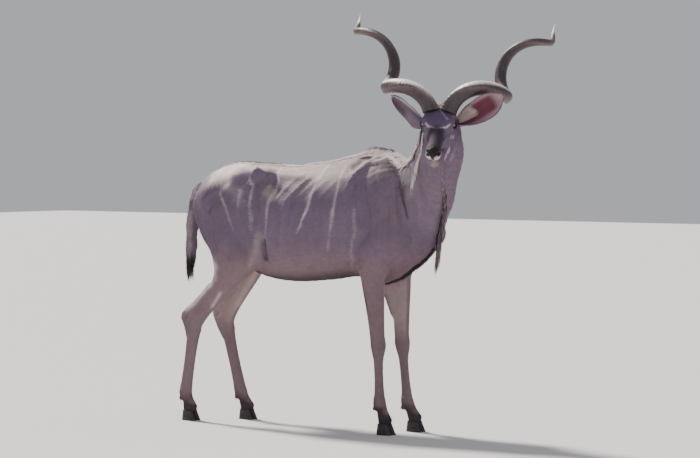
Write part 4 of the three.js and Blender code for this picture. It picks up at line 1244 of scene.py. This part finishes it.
# The mane's edge and fuzz on the right of the neck: pale hair, painted whiter as painted sunlight
def mane_side():
    line = [(0.283, -0.140, 1.49), (0.262, -0.136, 1.43), (0.233, -0.126, 1.339), (0.208, -0.121, 1.264)]
    fuzz = [(0.205, -0.118, 1.31), (0.165, -0.103, 1.285), (0.12, -0.07, 1.325)]
    points, normals, share = (np.concatenate(pair) for pair in zip(near_path(line, 0.0058, 1100),
                                                                   near_path(fuzz, 0.017, 800)))
    loose = np.arange(len(points)) >= 1100
    stray = RNG.normal(0, 1, (len(points), 3)) * np.where(loose, 0.30, 0.10)[:, None]
    ways = unit(np.array([-0.20, -0.1, -1.0]) + stray)
    ways = along_skin(ways, normals)
    pale = np.where(loose, RNG.uniform(0.0, 0.3, len(points)), RNG.uniform(0.5, 0.95, len(points)))
    pale = np.clip(pale + 0.3 * (1 - share) * ~loose, 0, 1)
    colour = mix(NECKHAIR[None], WHITE[None], pale)
    tips = mix(colour, WHITE[None], RNG.uniform(0.2, 0.9, len(points)) * np.where(loose, 0.5, 1))
    lengths = np.where(loose, 0.040, 0.030 + 0.012 * share) * RNG.uniform(0.5, 1.2, len(points))
    grow("mane_side", points, normals, ways, lengths, 0.0030, 0.35, colour, tips,
         steps=3, droop=0.08, bend=0.12)


def dorsal_crest():
    points, normals, share = near_path(SPINE, 0.020, 6000, smoothstep(0.3, 0.7, skin_normals[:, 2]))
    ways = lie_of_coat(points, normals)
    colour = coat_colour(points, normals)
    croup = smoothstep(0.50, 0.56, share) * (1 - smoothstep(0.84, 0.92, share))
    dark = np.maximum(croup, 1 - smoothstep(0.14, 0.24, share)) * bell(points[:, 1], 0.014)
    colour = mix(colour, BLACK[None], dark * RNG.uniform(0.85, 1.0, len(points)))
    tips = mix(colour, WHITE[None], 0.35 * (1 - dark))
    lengths = 0.034 * RNG.uniform(0.7, 1.2, len(points)) * (1 + 0.55 * dark)
    grow("dorsal_crest", points, normals, ways, lengths, 0.0042, 0.45, colour, tips, steps=1, bend=0.10)


def throat_fringe():
    points, normals, share = on_line(THROAT, THROAT_FACES, 0.0042, 2600)
    keep = RNG.random(len(points)) < 0.22 + 0.78 * smoothstep(0.25, 0.5, share)
    points, normals, share = points[keep], normals[keep], share[keep]
    low = smoothstep(0.55, 0.90, share)
    ways = unit(np.array([0.06, 0.02, -1.0]) + 0.35 * (1 - low)[:, None] * normals)
    ways = along_skin(ways, normals, 0.8)
    lengths = 0.020 + 0.030 * smoothstep(0.3, 0.6, share) + 0.105 * low
    lengths = lengths * RNG.uniform(0.6, 1.12, len(points))
    kind = RNG.random(len(points))
    colour = np.where((kind < 0.75)[:, None], DARK[None] * 0.8, NECKHAIR[None] * 0.7)
    colour = mix(colour, NECKHAIR[None], 0.7 * (1 - smoothstep(0.2, 0.45, share)))
    tips = mix(colour, PALE[None], np.where(kind > 0.90, 0.7, 0.08))
    grow("throat_fringe", points, normals, ways, lengths, 0.0042, 0.30, colour, tips,
         steps=4, droop=0.25, bend=0.05)


def brisket():
    line = [(0.235, 0, 0.93), (0.20, 0, 0.885), (0.13, 0, 0.825), (0.05, 0, 0.765), (-0.03, 0, 0.74)]
    points, normals, share = near_path(line, 0.010, 1100, smoothstep(0.0, 0.4, -skin_normals[:, 2]))
    ways = unit(np.array([-0.55, 0.0, -1.0]) + RNG.normal(0, 0.12, (len(points), 3)))
    colour = varied(mix(DARK[None], BLACK[None], RNG.uniform(0, 1, len(points))), 0.05, points)
    lengths = 0.026 * RNG.uniform(0.6, 1.2, len(points)) * (1 - 0.5 * smoothstep(0.7, 1.0, share))
    grow("brisket", points, normals, ways, lengths, 0.0038, 0.3, colour, colour * 1.2, steps=2, bend=0.08)


def beard():
    line = in_frame(FACE, np.array([(0.225, 0, -0.075), (0.16, 0, -0.088), (0.08, 0, -0.105)]))
    points, normals, share = near_path(line, 0.016, 900, smoothstep(0.1, 0.5, -(skin_normals @ FACE[2])))
    ways = unit(np.array([0.1, -0.1, -1.0]) + 0.5 * normals)
    colour = mix(WHITE[None], NECKHAIR[None] * 0.6, smoothstep(0.3, 0.8, share))
    lengths = 0.034 * RNG.uniform(0.6, 1.2, len(points))
    grow("beard", points, normals, ways, lengths, 0.0036, 0.3, colour * 0.8, colour,
         steps=2, droop=0.2, bend=0.08)


def crown_tuft():
    points, normals, share = near_path([(0.335, -0.075, 1.63), (0.375, -0.100, 1.622)], 0.015, 520)
    ways = unit(FACE[0] + 0.35 * RNG.normal(0, 1, (len(points), 3)))
    colour = mix(NECKHAIR[None], WHITE[None], RNG.uniform(0.2, 0.9, len(points)))
    lengths = 0.030 * RNG.uniform(0.6, 1.2, len(points))
    grow("crown_tuft", points, normals, ways, lengths, 0.0034, 0.9, colour * 0.8, colour, steps=2, bend=0.14)


def tail_brush():
    dock = [(-1.26, 0, 1.19), (-1.29, 0, 1.12), (-1.315, 0, 1.02), (-1.325, 0, 0.92), (-1.334, 0, 0.80)]
    points, normals, share = near_path(dock, 0.035, 9500)
    ways = lie_of_coat(points, normals)
    side = smoothstep(0.35, 0.9, np.abs(normals[:, 1]))
    base = mix(CHEEKHAIR[None], WHITE[None], side * 0.12 * RNG.uniform(0, 1, len(points)))
    black = smoothstep(0.72, 0.82, share)
    colour = mix(base, BLACK[None], black)
    low = smoothstep(0.70, 0.85, share)
    lengths = (0.078 + 0.022 * low) * RNG.uniform(0.7, 1.2, len(points)) * smoothstep(-0.3, 0.1, share)
    tip = smoothstep(0.90, 1.0, share) * (RNG.random(len(points)) < 0.6)
    pale = RNG.uniform(0, 0.5, len(points)) * (0.25 + 0.75 * side) * (1 - black)
    tips = mix(mix(colour, WHITE[None], pale), WHITE[None], 0.9 * tip)
    lift = 0.80 - 0.42 * low
    grow("tail_brush", points, normals, ways, lengths, 0.0045, lift, colour, tips,
         steps=2, droop=0.05, bend=0.07)


mane()
mane_side()
dorsal_crest()
throat_fringe()
brisket()
beard()
crown_tuft()
tail_brush()

# Horns: a helix with a keel that winds with it, wrinkled near the base and smooth at the tip

HORN_BASE = np.array([0.047, 0.072, -0.025])
HORN_THICK = [0.0405, 0.0402, 0.0375, 0.0345, 0.0315, 0.0298, 0.0278, 0.0248, 0.0218, 0.0195, 0.0170,
              0.0125, 0.0014]
HELIX = {
    -1: (np.array([0.214, 0.272, -0.351]), 1.869, [0.0705, 0.0627, 0.0479, 0.0535, 0.0338]),
    1: (np.array([0.220, 0.265, -0.362]), 1.881, [0.0767, 0.0879, 0.0583, 0.0497, 0.0261]),
}


def at_step(values, t):
    return np.interp(np.clip(t, 0, 1) * (len(values) - 1), np.arange(len(values)), values)


def smooth_step_values(values, t, rounds=25):
    fine = np.linspace(0, 1, 200)
    raw = at_step(values, fine)
    for _ in range(rounds):
        raw[1:-1] = (raw[:-2] + 2 * raw[1:-1] + raw[2:]) / 4
    return np.interp(t, fine, raw)


def horn_path(s, t):
    turn, turns, coil = HELIX[s]
    axis = unit(turn)
    out = unit(np.array([1.0, 0, 0]) - axis[0] * axis)
    across = np.cross(axis, out)
    angle = np.pi * (2 * turns * t - 1)
    radius = smooth_step_values(coil, np.clip(turns * t / 2, 0, 1))
    path = HORN_BASE + out * coil[0] + turn * (turns * t)[:, None]
    radial = out * np.cos(angle)[:, None] + across * np.sin(angle)[:, None]
    return path + radius[:, None] * radial, radial


def make_horn(s, name):
    steps, sides = 520, 40
    t = np.linspace(-0.008, 1, steps)
    centre, radial = horn_path(s, t)
    tangent = unit(np.gradient(centre, axis=0))
    radial = unit(radial - tangent * np.sum(radial * tangent, 1)[:, None])
    third = np.cross(tangent, radial)
    angle = 2 * np.pi * np.arange(sides) / sides
    radius = smooth_step_values(HORN_THICK, t)
    length = np.concatenate([[0], np.cumsum(np.linalg.norm(np.diff(centre, axis=0), axis=1))])
    keel = bell(np.angle(np.exp(1j * (angle[None] - 0.75))), 0.40)
    second = bell(np.angle(np.exp(1j * (angle[None] + 2.3))), 0.6)
    rough = (1 - smoothstep(0.30, 0.62, t))[:, None]
    wave = length / 0.0165 + 0.5 * np.interp(length, np.linspace(0, 1.4, 60), RNG.normal(0, 1, 60))
    notch = 1 - 2 * np.abs(np.sin(np.pi * wave)) ** 0.6
    wrinkle = -notch[:, None] * (0.30 + 0.70 * keel) * rough
    profile = 0.945 + 0.13 * keel + 0.035 * second + 0.030 * wrinkle
    r = radius[:, None] * profile
    ring = radial[:, None] * np.cos(angle)[None, :, None] + third[:, None] * np.sin(angle)[None, :, None]
    level = centre[:, None] + ring * r[..., None]
    level = level.reshape(-1, 3)
    verts = in_frame(LEVEL, np.stack([level[:, 2], level[:, 0] * s, level[:, 1]], 1))
    quads, tris = tube_quads(steps, sides), end_caps(steps, sides)
    if s < 0:
        quads, tris = quads[:, ::-1], tris[:, ::-1]
    tt = np.repeat(t, sides)
    colour = mix(lin(60, 49, 53)[None], lin(104, 88, 88)[None], np.clip(np.tile(keel[0], steps) * 0.8, 0, 1))
    # painted highlight: the upper side of the first coil is painted near white, standing in for sunlight on
    # it
    painted_highlight = smoothstep(0.35, 0.75, ring[..., 1].ravel())
    painted_highlight = painted_highlight * smoothstep(0.01, 0.05, tt) * (1 - smoothstep(0.28, 0.40, tt))
    colour = mix(colour, lin(232, 224, 220)[None], 0.85 * painted_highlight)
    colour = mix(colour, lin(96, 82, 84)[None], smoothstep(0.55, 0.95, tt) * 0.5)
    colour = mix(colour, lin(214, 202, 186)[None], smoothstep(0.895, 0.955, tt))
    shade = 1 - 0.38 * np.clip(-wrinkle, 0, 1).ravel()
    make_piece(name, verts, [quads, tris], HORN, colour * shade[:, None], replaces=[name])


make_horn(-1, "right_horn")
make_horn(1, "left_horn")

# Ears: a cupped shell with hair on its back, a pale rim and long hair inside

EARS = {
    -1: {"root": (0.066, 0.006, -0.096), "tip": (0.252, 0.121, -0.165), "looks": (-0.52, 0.73, -0.42),
         "bow": 0.0, "rim": WHITE},
    # painted shade: the left ear's rim is its pale rim darkened, as it stands in shade
    1: {"root": (0.067, 0.002, -0.080), "tip": (0.304, 0.154, 0.040), "looks": (0.1, -0.1, 1.0), "bow": 0.005,
        "rim": lin(168, 134, 142)},
}
EAR_WIDTH = [0.020, 0.031, 0.043, 0.054, 0.060, 0.062, 0.058, 0.044, 0.012]
EAR_WRAP = [165, 140, 105, 82, 70, 62, 56, 50, 45]


def ear_point(s, t, w, offset):
    """A point on the shell: t from root to tip, w from -1 to 1 across, offset outwards, in body space."""
    ear = EARS[s]
    root, tip = np.array(ear["root"]), np.array(ear["tip"])
    along = unit(tip - root)
    looks = unit(np.array(ear["looks"]) - along * (np.array(ear["looks"]) @ along))
    across = np.cross(looks, along)
    wrap = np.radians(smooth_step_values(EAR_WRAP, t))
    width = smooth_step_values(EAR_WIDTH, t)
    radius = width / np.sin(np.minimum(wrap, np.pi / 2))
    angle = wrap * w
    ripple = 0.0016 * np.sin(9 * w + 3 * t) * np.sin(np.pi * t)
    r = radius + offset + ripple
    bow = ear["bow"] * np.sin(np.pi * np.clip(t, 0, 1))
    bow = bow * np.sign(across[1]) * -1
    p = root + (tip - root) * t[:, None] + across * (r * np.sin(angle) + bow)[:, None]
    p = p + looks * (radius * np.cos(wrap) - r * np.cos(angle))[:, None]
    return in_frame(LEVEL, np.stack([p[:, 2], p[:, 0] * s, p[:, 1]], 1))


def ear_grid(s, t, w, offset):
    tt, ww = np.meshgrid(t, w, indexing="ij")
    offset = np.broadcast_to(offset, tt.shape).ravel()
    return ear_point(s, tt.ravel(), ww.ravel(), offset), tt.ravel(), ww.ravel()


def ear_colour(s, t, w, inside):
    back = mix(CHEEKHAIR[None] * 1.1, NECKHAIR[None], noise(np.stack([t, w, t], 1), 0.2, 4) * 0.5 + 0.5)
    pale = np.maximum(smoothstep(0.42, 0.80, np.abs(w)), smoothstep(0.72, 0.92, t))
    inner = mix(lin(104, 56, 70)[None], lin(160, 134, 150)[None], pale)
    cream = smoothstep(-0.35, 0.1, w) * (1 - smoothstep(0.30, 0.42, t)) * 0.8
    inner = mix(inner, lin(206, 190, 178)[None], cream)
    # painted shade: the inside is darker towards the root, deep in the cup
    inner = mix(inner, lin(62, 40, 48)[None], (1 - smoothstep(0.06, 0.14, t)) * 0.75)
    band = bell(w + 0.30, 0.40) * smoothstep(0.30, 0.55, t) if s < 0 else 0 * t
    back = mix(back, DARK[None], 0.75 * band)
    colour = np.where(np.asarray(inside)[:, None], inner, back)
    rim = np.maximum(smoothstep(0.80, 0.95, np.abs(w)), smoothstep(0.90, 0.98, t)) * smoothstep(0.04, 0.14, t)
    return mix(colour, EARS[s]["rim"][None], 0.8 * rim)


def make_ear(s, name):
    rows, cols = 60, 36
    t = np.linspace(0, 1, rows)
    w = np.linspace(-1, 1, cols)
    half = 0.0028 * (1 - 0.45 * t)[:, None] * (0.35 + 0.65 * np.sqrt(1 - (w * 0.98) ** 2))[None]
    outer, tt, ww = ear_grid(s, t, w, half)
    inner, _, _ = ear_grid(s, t, w, -half)
    colour_out = ear_colour(s, tt, ww, np.zeros(len(tt), bool))
    colour_in = ear_colour(s, tt, ww, np.ones(len(tt), bool))
    ring = 2 * cols
    outer, inner = outer.reshape(rows, cols, 3), inner.reshape(rows, cols, 3)
    verts = np.concatenate([outer, inner[:, ::-1]], 1).reshape(-1, 3)
    colour = np.concatenate([colour_out.reshape(rows, cols, 3), colour_in.reshape(rows, cols, 3)[:, ::-1]], 1)
    ends = []
    for start, flip in ((0, True), ((rows - 1) * ring, False)):
        k = start + np.arange(cols - 1)
        m = start + ring - 1 - np.arange(cols - 1)
        quad = np.stack([k, k + 1, m - 1, m], 1)
        ends.append(quad[:, ::-1] if flip else quad)
    quads = np.vstack([tube_quads(rows, ring)] + ends)
    if s < 0:
        quads = quads[:, ::-1]
    bare = np.concatenate([np.zeros((rows, cols)), np.ones((rows, cols)) * 0.25], 1).ravel()
    make_piece(name, verts, quads, SKIN, colour.reshape(-1, 3), bare=bare, replaces=[name])
    ear_hair(s, name)


def ear_hair(s, name):
    def frame_at(t, w, offset, sign):
        here = ear_point(s, t, w, offset)
        further = ear_point(s, np.clip(t + 0.01, 0, 1.01), w, offset)
        beside = ear_point(s, t, w + 0.01, offset)
        way = unit(further - here)
        normal = unit(np.cross(way, beside - here)) * s * sign
        return here, normal, way

    count = 6500
    t, w = RNG.uniform(0.0, 0.97, count), RNG.uniform(-0.98, 0.98, count)
    here, normal, way = frame_at(t, w, 0.002 * (1 - 0.4 * t), 1)
    check = np.sum(normal * (here - ear_point(s, t, w, -0.01 + 0 * t)), 1)
    normal *= np.sign(check)[:, None]
    colour = varied(ear_colour(s, t, w, np.zeros(count, bool)), 0.06, here)
    rim_count = 1500
    rt = RNG.uniform(0.10, 0.99, rim_count)
    rw = np.where(RNG.random(rim_count) < 0.5, -1, 1) * RNG.uniform(0.93, 1.0, rim_count)
    rhere, rnormal, rway = frame_at(rt, rw, 0 * rt, 1)
    rnormal *= np.sign(np.sum(rnormal * (rhere - ear_point(s, rt, rw, -0.01 + 0 * rt)), 1))[:, None]
    routward = unit(rhere - ear_point(s, rt, rw * 0.9, 0 * rt))
    rway = unit(rway + 0.55 * routward)
    lengths = np.repeat([0.011, 0.010], [count, rim_count]) * RNG.uniform(0.7, 1.3, count + rim_count)
    rim = varied(np.repeat(EARS[s]["rim"][None] * 0.9, rim_count, 0), 0.08, rhere)
    grow(name + "_hair", np.vstack([here, rhere]), np.vstack([normal, rnormal]), np.vstack([way, rway]),
         lengths, 0.0036, 0.15, np.vstack([colour, rim]), steps=0,
         outward=np.repeat([0.75, 0.0], [count, rim_count]))
    inner_count = 1300
    t = 0.03 + RNG.beta(1.3, 1.8, inner_count) * 0.36
    w = RNG.uniform(-0.30, 0.95, inner_count)
    here, normal, way = frame_at(t, w, -0.002 + 0 * t, 1)
    normal *= -np.sign(np.sum(normal * (here - ear_point(s, t, w, -0.01 + 0 * t)), 1))[:, None]
    centre = unit(ear_point(s, t, w * 0.5, -0.002 + 0 * t) - here)
    way = along_skin(unit(way + 0.7 * centre), normal)
    lengths = 0.026 * RNG.uniform(0.6, 1.2, inner_count)
    white = varied(np.repeat(PALE[None], inner_count, 0), 0.08, here)
    grow(name + "_inner_hair", here, normal, way, lengths, 0.0028, 0.5, white, steps=2, bend=0.12)


make_ear(-1, "right_ear")
make_ear(1, "left_ear")

# Eyes: a dark globe with a level pupil, set behind lids with a wet rim and lashes


def make_eye(s, name):
    out = eye_frame(s)[0]
    level = unit(FACE[0] * 0.9 - 0.35 * FACE[2])
    level = unit(level - out * (level @ out))
    tall = np.cross(out, level)
    rows, sides = 48, 64
    polar = np.linspace(0.0, np.pi, rows)[1:-1]
    turn = 2 * np.pi * np.arange(sides) / sides
    p, q = np.meshgrid(polar, turn, indexing="ij")
    ring = np.sin(p)[..., None] * (np.cos(q)[..., None] * level + np.sin(q)[..., None] * tall)
    direction = (ring + np.cos(p)[..., None] * out).reshape(-1, 3)
    direction = np.vstack([out, direction, -out])
    bulge = 1 + 0.035 * bell(np.arccos(np.clip(direction @ out, -1, 1)), 0.55)
    verts = EYE_AT[s] + direction * (EYE_R * 0.985 * bulge)[:, None]
    n = rows - 2
    quads = 1 + tube_quads(n, sides)[:, [0, 3, 2, 1]]
    k = np.arange(sides)
    top = np.stack([0 * k, 1 + k, 1 + (k + 1) % sides], 1)
    end = 1 + (n - 1) * sides
    bottom = np.stack([0 * k + len(verts) - 1, end + (k + 1) % sides, end + k], 1)
    x, y = direction @ level, direction @ tall
    pupil = 1 - smoothstep(0.85, 1.1, np.hypot(x / 0.42, y / 0.20))
    iris = 1 - smoothstep(0.9, 1.08, np.hypot(x, y) / 0.78)
    colour = mix(lin(60, 44, 38)[None], lin(70, 40, 22)[None], iris)
    colour = mix(colour, lin(8, 7, 9)[None], pupil * (direction @ out > 0))
    make_piece(name, verts, [quads, np.vstack([top, bottom])], EYE, colour, replaces=[name])
    eye_rim(s, name)


def eye_rim(s, name):
    out, along, across = eye_frame(s)
    rows, sides, thick = 96, 8, 0.0017
    turn = np.linspace(0, 2 * np.pi, rows, endpoint=False)
    a = OPENING[0] * np.cos(turn)
    b = OPENING[1] * np.sin(turn) * np.abs(np.sin(turn))
    spot = unit(out + np.tan(a)[:, None] * along * 0.94 + np.tan(b)[:, None] * across)
    centre = EYE_AT[s] + spot * (EYE_R + 0.0012)
    tangent = unit(np.roll(centre, -1, 0) - np.roll(centre, 1, 0))
    side = np.cross(tangent, spot)
    angle = (2 * np.pi * np.arange(sides) / sides)[None, :, None]
    ring = centre[:, None] + thick * (np.cos(angle) * spot[:, None] + 1.2 * np.sin(angle) * side[:, None])
    quads = tube_quads(rows + 1, sides) % (rows * sides)
    colour = np.repeat(BLACK[None] * 0.8, rows * sides, 0)
    make_piece(name + "_rim", ring.reshape(-1, 3), quads, WET, colour)
    pick = np.repeat(np.flatnonzero(b > 0.12), 3)
    root = centre[pick] + RNG.normal(0, 0.0006, (len(pick), 3))
    lash = unit(spot[pick] + 0.5 * across + 0.14 * RNG.normal(0, 1, (len(pick), 3)))
    normal = unit(np.cross(lash, tangent[pick]))
    grow(name + "_lashes", root, normal, lash, RNG.uniform(0.010, 0.015, len(pick)), 0.0011, 0.1,
         np.repeat(BLACK[None], len(pick), 0), steps=2, bend=0.1)


make_eye(-1, "right_eye")
make_eye(1, "left_eye")

# Hooves: two claws to a foot, flat below


def make_claw(name, joint, spread):
    x, y = joint[0], joint[1]
    levels = np.array([0.0, 0.0035, 0.012, 0.022, 0.032, 0.042, 0.050, 0.0555])
    sides = 40
    angle = 2 * np.pi * np.arange(sides) / sides
    rings, shades = [], []
    for n, z in enumerate(levels):
        t = z / 0.0555
        heel, toe = -0.037 + 0.008 * t, 0.055 - 0.028 * t**0.9
        half = 0.0172 - 0.0028 * t
        if n == 0:
            heel, toe, half = heel + 0.002, toe - 0.002, half - 0.0012
        cos = np.cos(angle)
        long = np.where(cos > 0, np.abs(cos) ** 0.8, -np.abs(cos) ** 0.7)
        wide = np.sign(np.sin(angle)) * np.abs(np.sin(angle)) ** 0.85 * (1 - 0.30 * np.maximum(cos, 0) ** 2)
        ridge = 1 + 0.012 * math.sin(n * 2.4)
        px = x + (heel + toe) / 2 + (toe - heel) / 2 * long * ridge
        py = y + 0.0182 * spread + half * wide * ridge
        py = y + np.maximum((py - y) * spread, 0.0008) * spread
        rings.append(np.stack([px, py, np.full(sides, z)], 1))
        shade = 0.75 + 0.25 * math.sin(n * 1.7) + 0.25 * (n == len(levels) - 1)
        shades.append(np.repeat(lin(46, 38, 42)[None] * shade, sides, 0))
    verts = np.vstack(rings)
    faces = [tube_quads(len(levels), sides), end_caps(len(levels), sides)]
    make_piece(name, verts, faces, HOOF, np.vstack(shades), replaces=[name])


for side_name, s in (("right", -1), ("left", 1)):
    for which, legs in (("fore", FORELEGS), ("hind", HIND_LEGS)):
        for claw, spread in (("inner", -s), ("outer", s)):
            make_claw(f"{side_name}_{which}_hoof_{claw}", legs[s][3], spread)

# Floor, light and camera


def make_floor():
    mesh = bpy.data.meshes.new("floor")
    size = 30.0
    corners = [(-size, -size, 0), (size, -size, 0), (size, size, 0), (-size, size, 0)]
    mesh.from_pydata(corners, [], [(0, 1, 2, 3)])
    floor = bpy.data.objects.new("floor", mesh)
    bpy.context.scene.collection.objects.link(floor)
    look = Look("floor_look")
    look.put("Base Color", (0.62, 0.60, 0.60, 1))
    look.put("Roughness", 0.9)
    mesh.materials.append(look.made)


def add_sun(name, way, strength, spread, colour):
    light = bpy.data.lights.new(name, "SUN")
    light.energy = strength
    light.angle = math.radians(spread)
    light.color = colour
    lamp = bpy.data.objects.new(name, light)
    lamp.rotation_euler = Vector(way).to_track_quat("Z", "Y").to_euler()
    bpy.context.scene.collection.objects.link(lamp)


def add_area(name, place, target, size, power, colour):
    light = bpy.data.lights.new(name, "AREA")
    light.shape = "DISK"
    light.size = size
    light.energy = power
    light.color = colour
    lamp = bpy.data.objects.new(name, light)
    lamp.location = place
    lamp.rotation_euler = (Vector(target) - Vector(place)).to_track_quat("-Z", "Y").to_euler()
    bpy.context.scene.collection.objects.link(lamp)


def light_scene():
    world = bpy.data.worlds.new("soft_sky")
    world.use_nodes = True
    world.node_tree.nodes["Background"].inputs["Color"].default_value = (0.93, 0.94, 1.0, 1)
    world.node_tree.nodes["Background"].inputs["Strength"].default_value = 0.50
    bpy.context.scene.world = world
    add_sun("key", (-0.65, 0.20, 0.73), 7.5, 8.0, (1.0, 0.95, 0.88))
    add_area("fill", (5.5, -7.5, 4.0), (0, 0, 1.0), 5.0, 120, (0.95, 0.95, 1.0))


FOCAL_PIXELS, PHOTO_WIDTH = 3000, 700
DISTANCE, EYE_HEIGHT, AWAY = 15.0, 1.5, 37
OFF_CENTRE, DROP = 28, 97


def add_camera():
    away = math.radians(AWAY)
    right = np.array([math.cos(away), math.sin(away), 0])
    depth = np.array([-math.sin(away), math.cos(away), 0])
    place = np.array([-0.1, 0, 0]) - DISTANCE * depth + EYE_HEIGHT * UP
    yaw, pitch = math.atan(OFF_CENTRE / FOCAL_PIXELS), math.atan(DROP / FOCAL_PIXELS)
    level = math.cos(yaw) * depth - math.sin(yaw) * right
    across = math.cos(yaw) * right + math.sin(yaw) * depth
    forward = math.cos(pitch) * level - math.sin(pitch) * UP
    up = np.cross(across, forward)
    camera = bpy.data.cameras.new("camera")
    camera.sensor_width = 36
    camera.lens = FOCAL_PIXELS * camera.sensor_width / PHOTO_WIDTH
    camera.clip_end = 100
    lens = bpy.data.objects.new("camera", camera)
    turn = Matrix(np.stack([across, up, -forward], 1).tolist()).to_4x4()
    lens.matrix_world = Matrix.Translation(Vector(place + SHIFT)) @ turn
    bpy.context.scene.collection.objects.link(lens)
    bpy.context.scene.camera = lens


make_floor()
light_scene()
add_camera()
